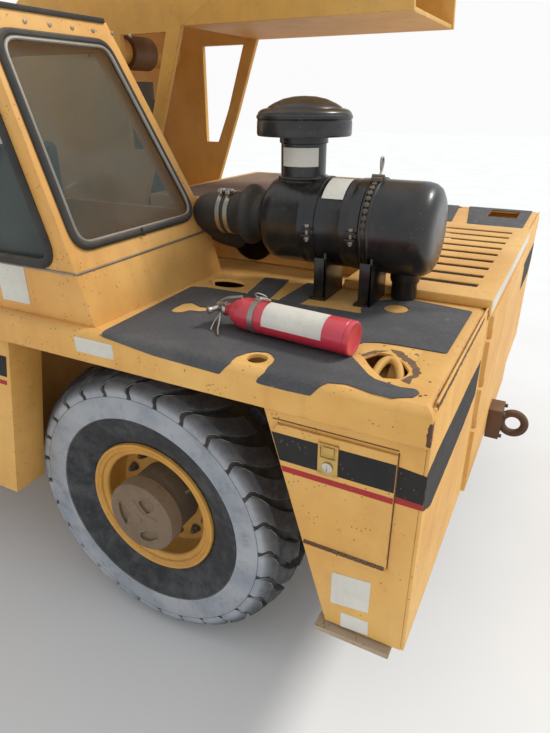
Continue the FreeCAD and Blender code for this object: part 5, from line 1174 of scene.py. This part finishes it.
@dataclass
class AirCleaner:
    """The air cleaner: canister, stack, cap, bands, legs, dust cup, hump hose and elbow."""

    side: float = 535
    height: float = 1285
    radius: float = 118
    stack: float = 520
    clamp: float = 303

    def build(self) -> None:
        """Make the parts and let them stand for the two nodes."""
        r = self.radius
        y, z = self.side, self.height
        body = lathe("can_body", [
            (0, -16), (r - 50, -15), (r - 28, -11), (r - 13, -3), (r - 4, 10), (r - 0.5, 26), (r, 40), (r, 138),
            (r + 1.5, 142), (r + 1.5, 154), (r - 1, 158), (r - 3.5, 162), (r - 3.5, 208), (r - 2.2, 210),
            (r - 2.2, 214), (r - 3.5, 216), (r - 3.5, 324), (r - 2.5, 326), (r - 2.5, 330), (r - 3.5, 332),
            (r - 3.5, 412), (r - 8, 434), (r - 22, 450), (r - 48, 457), (58, 459),
            (58, 500), (53, 500), (53, 459), (0, 459)], (155, y, z), AHEAD, 96)
        x = self.stack
        stack = lathe("can_stack", [
            (56, 30), (60, 34), (60, 96), (66, 108), (68, 112), (66, 116), (60, 117), (60, 196), (64, 198), (64, 214),
            (58, 216), (54, 214), (54, 60), (40, 30)], (x, y, z), UP, 64)
        weld = lathe("stack_weld", [(60, 100), (65, 104), (66, 109), (63, 114), (59, 118), (56, 110), (60, 100)],
                     (x, y, z - 4), UP, 48)
        cap = lathe("cap", [
            (0, 94), (28, 92.6), (56, 87), (80, 77), (94, 69), (97, 65.5), (104, 64.4), (113, 61.5), (119, 57),
            (121, 53.5), (121.4, 51), (124, 49), (124.8, 46), (124.8, 42), (123, 39.6), (122, 37), (123.4, 34),
            (124, 5), (122, 0), (118, 0), (117, 6), (117, 26), (80, 30), (0, 34)], (x, y, 1500), UP, 96)
        fit("air_cleaner_can", [body, stack, weld], Finish.BLACK, replaces=("air_cleaner",), smooth=40)
        clips = []
        for angle in (-2.2, -0.5, 0.7, 2.3):
            px, py = x + 121 * math.cos(angle), y + 121 * math.sin(angle)
            clips.append(drum("clip", (px, py, 1506), (px, py, 1524), 5, sides=10, edge=1))
        fit("inlet_cap", [cap, *clips], Finish.BLACK, smooth=30)
        self.bands()
        self.legs()
        self.hose()

    def bands(self) -> None:
        """The two mounting bands with their lugs and bolts, the clamp ring and its hooked bolt."""
        y, z, r = self.side, self.height, self.radius
        band = [(r - 4, -14), (r - 0.4, -14), (r, -12), (r, 12), (r - 0.4, 14), (r - 4, 14)]
        bead = [(r - 3, -16), (r - 0.2, -15), (r, -13.4), (r - 3, -12)]
        clamp = [(r - 4, -5), (r + 1, -5), (r + 4.5, -2), (r + 4.5, 2), (r + 1, 5), (r - 4, 5)]
        rings, bolts = [], []
        for x in (453, 334):
            rings += [lathe("ring", profile, (x, y, z), AHEAD, 72) for profile in (band, bead)]
            rings += [block("ear", (x - 14, y + 104, z + low), (x + 14, y + 128, z + low + 6), 1.2)
                      for low in (-2, -20)]
            bolts.append(drum("bolt", (x, y + 119, z - 32), (x, y + 119, z + 12), 4.5, sides=12))
            bolts += [drum("nut", (x, y + 119, z + low), (x, y + 119, z + low + 8), 8, sides=6, edge=0.8)
                      for low in (4, -28)]
        rings += [lathe("clamp_ring", clamp, (self.clamp + offset, y, z), AHEAD, 96) for offset in (-9, 9)]
        fit("mounting_bands", rings, Finish.BLACK)
        top = z + r
        route = ((20, 2), (8, 12), (-4, 26), (-10, 40), (-4, 52), (8, 52), (12, 38), (6, 22))
        hook = pipe("hook", [(self.clamp, y + out, top + up) for out, up in route], 3, True, 3)
        plates = [block("toggle", (288, y + 10, top - 2), (316, y + 46, top + 8), 2),
                  drum("trunnion", (286, y + 28, top + 8), (318, y + 28, top + 8), 6, sides=14, edge=1)]
        for index in range(9):
            angle = math.radians(24 + index * 8)
            low, high = ((self.clamp, y + (r + out) * math.sin(angle), z + (r + out) * math.cos(angle))
                         for out in (2, 7))
            plates.append(drum("link", low, high, 7, sides=8, edge=1))
        fit("clamp_toggle", plates, Finish.CAST)
        fit("band_bolts", [*bolts, hook], Finish.STEEL)
        self.labels()

    def labels(self) -> None:
        """Blank sheets on the canister's upper left and on the stack's left rear."""
        y, z, r = self.side, self.height, self.radius - 3.2

        def on_can(u: float, v: float) -> Vector:
            """A point on the canister, between two angles above the horizon."""
            angle = math.radians(40 + (v + 1) / 2 * 44)
            return spot(398 + u * 30, y + r * math.cos(angle), z + r * math.sin(angle))

        def on_stack(u: float, v: float) -> Vector:
            """A point on the stack."""
            angle = math.radians(104 + u * 50)
            return spot(self.stack + 60.6 * math.cos(angle), y + 60.6 * math.sin(angle), 1450 + v * 23)

        finish(wrapped("can_label", (3, 10), 0.6, on_can), Finish.BLANK)
        finish(wrapped("stack_label", (12, 3), 0.6, on_stack), Finish.BLANK)

    def legs(self) -> None:
        """Bent legs with feet and bolts, and the dust cup."""
        y, z = self.side, self.height
        pieces, bolts = [], []
        for x in (276, 402):
            pieces.append(block("leg", (x, y - 25, DECK + 3), (x + 7, y + 105, z - 62), 1.5))
            pieces.append(block("foot", (x, y - 25, DECK), (x + 46, y + 105, DECK + 7), 1.5))
            pieces.append(block("flange", (x, y + 98, DECK + 7), (x + 34, y + 105, z - 76), 1.5))
            for side in (12, 72):
                for low, high, radius, sides, edge in ((7, 17, 11, 6, 1), (6, 9, 16, 24, 0.6)):
                    bolts.append(drum("foot_bolt", (x + 28, y + side, DECK + low), (x + 28, y + side, DECK + high),
                                      radius, sides=sides, edge=edge))
        cup = lathe("dust_cup", [(0, -84), (30, -84), (34, -80), (34, -40), (38, -34), (40, -26), (40, 8), (0, 8)],
                    (222, y - 20, z - 108), UP, 40)
        fit("air_cleaner_legs", [*pieces, cup], Finish.BLACK)
        fit("leg_bolts", bolts, Finish.CAST)

    def hose(self) -> None:
        """The hump hose with its clamps, and the elbow that goes into the hood."""
        y, z = self.side, self.height
        hump = lathe("hump", [(56, 0), (60, 2), (60, 18), (64, 24), (76, 32), (84, 42), (84, 52), (76, 62), (64, 70),
                              (60, 76), (60, 128), (56, 130), (54, 128), (54, 2), (56, 0)], (628, y, z), AHEAD, 64)
        route = [(728, y, z), (790, y, z), (828, y - 4, z - 4), (846, y - 34, z - 22), (838, y - 92, z - 70),
                 (812, 388, 1196)]
        elbow = pipe("elbow", route, 55, True, 12)
        fit("hump_hose", [hump, elbow], Finish.RUBBER, replaces=("intake_pipe",), smooth=50)
        clamps = []
        for x in (738, 764):
            clamps += [lathe("clamp", [(58, -7), (61.6, -7), (61.6, 7), (58, 7), (58, -7)], (x, y, z), AHEAD, 64),
                       block("clamp_box", (x - 8, y + 20, z + 56), (x + 8, y + 42, z + 70), 2),
                       drum("clamp_screw", (x, y + 10, z + 64), (x, y + 48, z + 64), 4.5, sides=8, edge=0.6)]
        fit("hose_clamps", clamps, Finish.CLAMP)


@dataclass
class Bottle:
    """The fire extinguisher that lies on the rear deck."""

    side: float = 944
    radius: float = 38.5
    start: float = 206
    yaw: float = -6.4

    def turned(self, piece: Piece) -> Piece:
        """Swing a piece made along the machine to the way the bottle lies."""
        pivot = spot(232, self.side, 0)
        piece.matrix_world = (Matrix.Translation(pivot) @ Matrix.Rotation(math.radians(self.yaw), 4, "Z")
                              @ Matrix.Translation(-pivot) @ piece.matrix_world)
        return settle(piece, piece.name)

    def add(self, name: str, pieces: Sequence[Piece], kind: Finish) -> None:
        """Join pieces, turn them with the bottle and finish them."""
        finish(self.turned(joined(name, pieces)), kind)

    def build(self) -> None:
        """The bottle with its valve, levers, ring, strap and blank label."""
        y, r = self.side, self.radius
        z = DECK + Decks.mat + r
        body = lathe("bottle", [
            (0, 7), (r * 0.5, 5), (r * 0.75, 1.5), (r * 0.85, 0), (r - 1.6, 1.2), (r - 0.5, 4), (r - 0.5, 9),
            (r - 1.8, 11), (r - 0.6, 13), (r - 0.6, 268), (r - 1.6, 282), (r - 6, 298), (r - 14, 312), (16, 320),
            (14, 324), (14, 334), (0, 334)], (self.start, y, z), AHEAD, 72)
        finish(self.turned(body), Finish.BOTTLE, replaces=("extinguisher",), smooth=30)
        neck = self.start + 331
        valve = [
            lathe("collar", [(0, 0), (16, 0), (17, 3), (17, 8), (13, 11), (11, 13), (11, 30), (0, 32)],
                  (neck, y, z), AHEAD, 32),
            block("valve_body", (neck + 6, y - 10, z - 12), (neck + 30, y + 10, z + 16), 4),
            drum("outlet", (neck + 16, y, z + 6), (neck + 30, y + 34, z + 2), 6.5, sides=20, edge=1.2),
            drum("outlet_rim", (neck + 29, y + 31, z + 2.4), (neck + 32, y + 39, z + 1.4), 8.5, sides=20, edge=1.2),
            drum("gauge", (neck + 16, y - 8, z - 2), (neck + 16, y - 22, z - 2), 11, sides=24, edge=1.5)]
        self.add("bottle_valve", valve, Finish.CLAMP)
        levers = [[(neck + 26, y - 4, z + 14), (neck + 8, y - 2, z + 26), (neck - 16, y, z + 32),
                   (neck - 40, y, z + 38)],
                  [(neck + 26, y + 6, z + 8), (neck + 12, y + 14, z + 16), (neck - 8, y + 20, z + 22)]]
        self.add("bottle_levers", [pipe("lever", lever, 4.2, True, 3) for lever in levers], Finish.STEEL)
        ring_at = (self.start + 238, y - 2, z + r + 1)
        wire = [(ring_at[0] + 16 * math.cos(t / 8 * math.pi), ring_at[1] + 8 * math.sin(t / 8 * math.pi),
                 ring_at[2] + 9 * math.sin(t / 8 * math.pi) + 9) for t in range(17)]
        second = [(x - 14, side + 6, height * 0.6 + (ring_at[2] + 4) * 0.4) for x, side, height in wire]
        hanger = [(neck + 12, y + 18, z - 6), (neck + 6, y + 28, z - 16), (neck - 2, y + 42, z - 24),
                  (neck - 12, y + 60, z - 32), (neck - 26, y + 74, z - r + 3)]
        tail = [(neck + 14, y + 16, z - 8), (neck + 16, y + 40, z - 22), (neck + 10, y + 58, z - r + 3)]
        wires = [pipe("pin_ring", wire, 1.5, False, 2), pipe("pin_ring", second, 1.5, False, 2),
                 pipe("hanger", hanger, 2.4, True, 3), pipe("hanger", tail, 1.6, True, 3)]
        self.add("bottle_wires", wires, Finish.CLAMP)
        strap = lathe("bottle_strap", oblong(r - 0.8, -7, r + 0.9, 7), (self.start + 243, y, z), AHEAD, 64)
        buckle = block("strap_buckle", (self.start + 234, y - 14, z + r - 2), (self.start + 252, y + 4, z + r + 5), 1.4)
        self.add("bottle_strap", [strap, buckle], Finish.STEEL)

        def on_bottle(u: float, v: float) -> Vector:
            """A point on the bottle's upper side."""
            angle = math.radians(46 + v * 54)
            return spot(self.start + 136 + u * 76, y + (r - 0.2) * math.cos(angle), z + (r - 0.2) * math.sin(angle))

        self.add("bottle_label", [wrapped("bottle_label", (6, 20), 0.8, on_bottle)], Finish.BLANK)


@dataclass
class Cab:
    """The cab: shell, panes, gaskets, door, seams and what is inside."""

    outer: float = 1070
    rear: float = 810
    slope: float = 17.6
    front: float = 2080
    front_low: float = 1150
    front_slope: float = 120 / 615
    window: tuple[Point, ...] = ((908, 1230), (1335, 1230), (1335, 1680), (1051, 1680))

    def build(self) -> None:
        """Dress the shell and add the rest."""
        dress("cab_shell", Finish.CAB, 6.0, shape=self.widen)
        dress("cab_door", Finish.CAB, 3.0)
        dress("cab_glass", Finish.GLASS, 0, shape=self.widen_pane)
        dress("door_glass", Finish.GLASS, 0)
        dress("cab_fittings", Finish.TRIM, 6.0)
        self.gaskets()
        self.seams()
        self.seat()
        self.wheel()

    def rear_at(self, height: float) -> float:
        """The station of the sloped rear wall's outside at a height."""
        return self.rear + (height - DECK) * math.tan(math.radians(self.slope))

    def widen(self, shell: Piece) -> None:
        """Cut the rear window out to its full width beside the corner post."""
        low, high = spot(0, 0, 1262).z, spot(0, 0, 1718).z
        tool = block("cut", (self.rear_at(1262) - 14, 1005, 1262), (self.rear_at(1262) + 26, 1042, 1718))
        for vertex in tool.data.vertices:
            share = (vertex.co.z - low) / (high - low)
            vertex.co.x += share * (self.rear_at(1718) - self.rear_at(1262)) * MM
            vertex.co.y += share * 0.008 if vertex.co.y > 1.02 else 0.0
        carved(shell, tool)

    def widen_pane(self, panes: Piece) -> None:
        """Stretch the rear pane to the wider opening."""
        for vertex in panes.data.vertices:
            near = abs(vertex.co.x - spot(self.rear_at(vertex.co.z / MM), 0, 0).x) < 0.05
            if near and 0.99 < vertex.co.y < 1.045:
                vertex.co.y += 0.028

    def gaskets(self) -> None:
        """Rubber round the windows, with a bright strip let into it at the rear."""
        rear = rounded([(561, 1268), (1038, 1268), (1047, 1716), (711, 1716)], 46, 6)
        inner = rounded([(571, 1278), (1028, 1278), (1037, 1706), (716, 1706)], 40, 6)
        side = rounded(self.window, 46, 6)
        front = rounded([(560, 1180), (1020, 1180), (1020, 1720), (620, 1720)], 40, 6)
        joint = self.rear_at(1268) - 11
        rubber = [
            hoop("gasket", [(self.rear_at(z) - 1, y, z) for y, z in rear], 10),
            hoop("gasket", [(x, self.outer, z) for x, z in side], 12),
            hoop("gasket", [(self.front - (z - self.front_low) * self.front_slope + 2, y, z) for y, z in front], 12),
            pipe("gasket_joint", [(joint, 812, 1258), (joint, 818, 1280)], 2.4, False, 2)]
        fit("window_gaskets", rubber, Finish.RUBBER)
        strip = hoop("gasket_strips", [(self.rear_at(z) - 5, y, z) for y, z in inner], 5)
        finish(strip, Finish.STEEL)
        door = rounded(oblong(1430, 1230, 1940, 1650), 40, 6)
        finish(hoop("door_gasket", [(x, self.outer, z) for x, z in door], 11), Finish.RUBBER, "cab_door")
        self.corners()

    def corners(self) -> None:
        """Thin frames that round the corners of the window openings."""
        side = [(900, 1222), (1343, 1222), (1343, 1688), (1056, 1688)]
        frames = [flat("frame", Face.SIDE, [side, rounded(self.window, 46, 6)], self.outer - 3.2, 3)]
        rear = flat("frame", Face.END, [[(548, 1254), (1048, 1254), (1058, 1726), (700, 1726)],
                                        rounded([(561, 1266), (1040, 1266), (1049, 1718), (710, 1718)], 46, 6)], 0, 3)
        for vertex in rear.data.vertices:
            vertex.co.x += (self.rear_at(vertex.co.z / MM) + 0.3) * MM
        frames.append(tidy(rear))
        fit("window_corners", frames, Finish.CAB)

    def seams(self) -> None:
        """Lap seams of the panels and the roof's rain strip."""
        z, wall = 1217, self.rear_at(1217)
        seams = [[(wall - 1, 530, z + 3), (wall - 1, self.outer, z)],
                 [(wall + 2, self.outer + 1, z), (1372, self.outer + 1, z)]]
        fit("panel_seams", [pipe("seam", seam, 3, False, 2) for seam in seams], Finish.STEEL)
        roof = [block("roof_strip", (self.rear_at(1765) - 6, 690, 1762), (self.rear_at(1765) + 18, 1062, 1774), 3),
                block("roof_strip", (1030, 1056, 1762), (1950, 1072, 1772), 3)]
        fit("roof_strips", roof, Finish.RUBBER)
        wall = self.rear_at(1742)
        screws = [drum("screw", (wall - 3, y, 1742), (wall + 3, y, 1741), 5, sides=12, edge=1)
                  for y in range(600, 1021, 70)]
        fit("cab_screws", screws, Finish.STEEL)
        plate = rounded(oblong(1022, 1118, 1121, 1221), 3)
        finish(flat("cab_plate", Face.SIDE, [plate], self.outer + 0.2, 0.8), Finish.BLANK)

    def seat(self) -> None:
        """Two crowned cushions."""
        pads = []
        for name, low, high in (("seat_cushion", (1385, 630, 842), (1805, 1020, 938)),
                                ("seat_back", (1292, 640, 1125), (1378, 1010, 1471))):
            pad = block(name, low, high)
            modify(pad, "SUBSURF", levels=2, render_levels=2, subdivision_type="SIMPLE")
            modify(pad, "BEVEL", width=0.03, segments=4, limit_method="ANGLE", angle_limit=0.6)
            middle = (spot(*low) + spot(*high)) / 2
            size = spot(*high) - spot(*low)
            for vertex in pad.data.vertices:
                away = vertex.co - middle
                share = [abs(away[axis]) / (size[axis] / 2) for axis in range(3)]
                thin = min(range(3), key=lambda axis: size[axis])
                wide = [axis for axis in range(3) if axis != thin]
                crown = (1 - share[wide[0]] ** 2) * (1 - share[wide[1]] ** 2)
                away[thin] *= 0.80 + 0.20 * crown
                vertex.co = middle + away
            modify(pad, "SUBSURF", levels=1, render_levels=1)
            pads.append(pad)
        finish(pads[0], Finish.VINYL, replaces=("seat",), smooth=60)
        finish(pads[1], Finish.VINYL, smooth=60)

    def wheel(self) -> None:
        """The steering wheel: rim, spokes and boss."""
        clear()
        bpy.ops.mesh.primitive_torus_add(major_radius=0.165, minor_radius=0.012, major_segments=64,
                                         minor_segments=14, location=(0, 0, 0))
        parts = [settle(bpy.context.object, "wheel_rim")]
        for angle in (90, 210, 330):
            a = math.radians(angle)
            end = (MIDDLE + 160 * math.cos(a), 160 * math.sin(a), 0)
            parts.append(drum("spoke", (MIDDLE, 0, -18), end, 9, 6, sides=16, edge=1))
        parts.append(drum("boss", (MIDDLE, 0, -30), (MIDDLE, 0, 8), 34, 28, sides=32, edge=4))
        wheel = joined("steering_wheel_rim", parts)
        wheel.matrix_world = Matrix.Translation(spot(1863, 815, 1195.5)) @ Matrix.Rotation(math.radians(-40), 4, "Y")
        settle(wheel, "steering_wheel_rim")
        finish(wheel, Finish.GRIP, replaces=("steering_wheel",))


@dataclass
class Upper:
    """Turret, boom, winch, hook and lift cylinder."""

    def build(self) -> None:
        """Dress the moving upper works."""
        dress("slewing_ring", Finish.CAST, 3.0)
        dress("turret_frame", Finish.BOOM, 4.0)
        dress("swing_drive", Finish.CAST, 4.0)
        dress("boom_base", Finish.BOOM, 5.0)
        dress("boom_mid", Finish.BOOM, 4.0)
        dress("boom_tip", Finish.BOOM, 4.0)
        # the lift barrel's dark brown is oxidised paint and partly painted shade
        dress("lift_barrel", Finish.BARREL, 3.0)
        dress("lift_rod", Finish.CHROME, 2.0)
        dress("hook_block", Finish.CAST, 2.0)
        self.winch()
        self.pins()

    def winch(self) -> None:
        """Rope laid on the winch drum between two flanges."""
        turns = [(70 + (13 if step % 2 else 8), -84 + step * 6) for step in range(29)]
        rope = lathe("winch_rope", [(66, -90), *turns, (66, 90)], (990, 0, 2410), ACROSS, 40)
        finish(rope, Finish.STEEL, "boom_base", smooth=70)
        flanges = [lathe("flange", [(60, y), (103, y), (103, y + 6), (60, y + 6), (60, y)], (990, 0, 2410), ACROSS, 40)
                   for y in (-98, 92)]
        fit("winch_flanges", flanges, Finish.CAST, "boom_base")

    def pins(self) -> None:
        """Washers and nuts on the hook block's pin."""
        low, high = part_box("hook_block")
        middle = (low[0] + high[0]) / 2 / MM - REAR / MM
        parts = []
        for side in (1, -1):
            parts.append(drum("washer", (middle, side * 33.5, 1610), (middle, side * 37, 1610), 30, sides=28, edge=0.8))
            parts.append(drum("nut", (middle, side * 37, 1610), (middle, side * 49, 1610), 21, sides=6, edge=1.4))
        fit("block_nuts", parts, Finish.IRON, "hook")


@dataclass
class Lower:
    """Frame, axles, engine, hood and front end."""

    def build(self) -> None:
        """Dress the running gear and the hood."""
        dress("engine_hood", Finish.PAINT, 8.0)
        dress("main_frame", Finish.BLACK, 3.0)
        dress("engine_block", Finish.CAST, 6.0)
        dress("driveline", Finish.CAST, 4.0)
        dress("rear_axle", Finish.CAST, 4.0)
        dress("front_axle", Finish.CAST, 4.0)
        for name, _ in SIDES:
            dress(f"knuckle_{name}", Finish.CAST, 3.0)
        dress("tie_rod", Finish.CAST, 2.0)
        dress("tow_hook", Finish.IRON, 4.0)
        dress("head_lamps", Finish.LENS, 4.0)
        self.lamps()
        self.hitch()

    def lamps(self) -> None:
        """Black rings round the head lamps."""
        rings = [lathe("ring", [(58, 45.5), (62, 49), (72, 49), (77, 43), (77, 1), (69, 1), (69, 43), (58, 45.5)],
                       (4550, side * 700, 860), AHEAD, 40) for _, side in SIDES]
        fit("lamp_rings", rings, Finish.RUBBER)

    def hitch(self) -> None:
        """Bolts of the tow hook's base."""
        bolts = [drum("bolt", (-58, y, z), (-70, y, z), 8, sides=6, edge=1) for y in (-36, 36) for z in (467, 558)]
        fit("hitch_bolts", bolts, Finish.CAST)


@dataclass
class Studio:
    """Floor, lamps, sky and the camera at the photograph's place."""

    lens: float = 27.756
    eye: tuple[float, float, float] = (-2.6530, 1.9890, 1.5824)
    right: tuple[float, float, float] = (-0.887527, -0.460755, -0.000580)
    up: tuple[float, float, float] = (0.195649, -0.378006, 0.904894)
    sky: float = 0.85
    sun: float = 2.1

    def build(self) -> None:
        """Set up the stage."""
        clear()
        bpy.ops.mesh.primitive_plane_add(size=60)
        floor = settle(bpy.context.object, "floor")
        floor.data.materials.append(self.floor_material())
        self.world()
        lamp = bpy.data.lights.new("key", "SUN")
        lamp.energy = self.sun
        lamp.angle = math.radians(14)
        lamp.color = (1.0, 0.97, 0.92)
        key = linked("key", lamp)
        key.rotation_euler = Vector((-0.50, -0.42, 0.78)).to_track_quat("Z", "Y").to_euler()
        camera = linked("camera", bpy.data.cameras.new("camera"))
        camera.data.lens = self.lens
        camera.data.sensor_width = 36
        camera.data.clip_end = 200
        right, up = Vector(self.right).normalized(), Vector(self.up).normalized()
        turn = Matrix((right, up, right.cross(up))).transposed().to_4x4()
        camera.matrix_world = Matrix.Translation(Vector(self.eye)) @ turn
        bpy.context.scene.camera = camera
        bpy.context.scene.view_settings.view_transform = "Standard"

    def floor_material(self) -> bpy.types.Material:
        """A plain pale floor."""
        material, w = started("pale_floor")
        shade = w.ramp(w.noise(w.place(), 1.5, 2), 0.3, 0.7, 0.0, 1.0)
        colour = w.mix(shade, (0.74, 0.74, 0.735, 1), (0.77, 0.77, 0.765, 1))
        shader = w.add("ShaderNodeBsdfPrincipled", {"Base Color": colour, "Roughness": 0.9})
        w.surface(shader)
        return material

    def world(self) -> None:
        """A soft sky that the camera sees as white, through glass too."""
        world = bpy.data.worlds.new("sky")
        bpy.context.scene.world = world
        world.use_nodes = True
        w = Wiring(world.node_tree)
        path = w.add("ShaderNodeLightPath").outputs
        seen = w.sum("MAXIMUM", path["Is Camera Ray"], path["Is Transmission Ray"])
        light = w.add("ShaderNodeBackground", {"Color": (0.92, 0.96, 1.0, 1), "Strength": self.sky})
        white = w.add("ShaderNodeBackground", {"Color": (1, 1, 1, 1), "Strength": 0.97})
        both = w.add("ShaderNodeMixShader", {0: seen, 1: light.outputs[0], 2: white.outputs[0]})
        w.add("ShaderNodeOutputWorld", {"Surface": both.outputs[0]})


def main() -> None:
    """Build every sub-assembly in order."""
    random.seed(7)
    for part in (Studio(), Wheels(), Decks(), Panels(), AirCleaner(), Bottle(), Cab(), Upper(), Lower()):
        part.build()
        LOG.info("built %s", type(part).__name__)


if __name__ == "__main__":
    main()
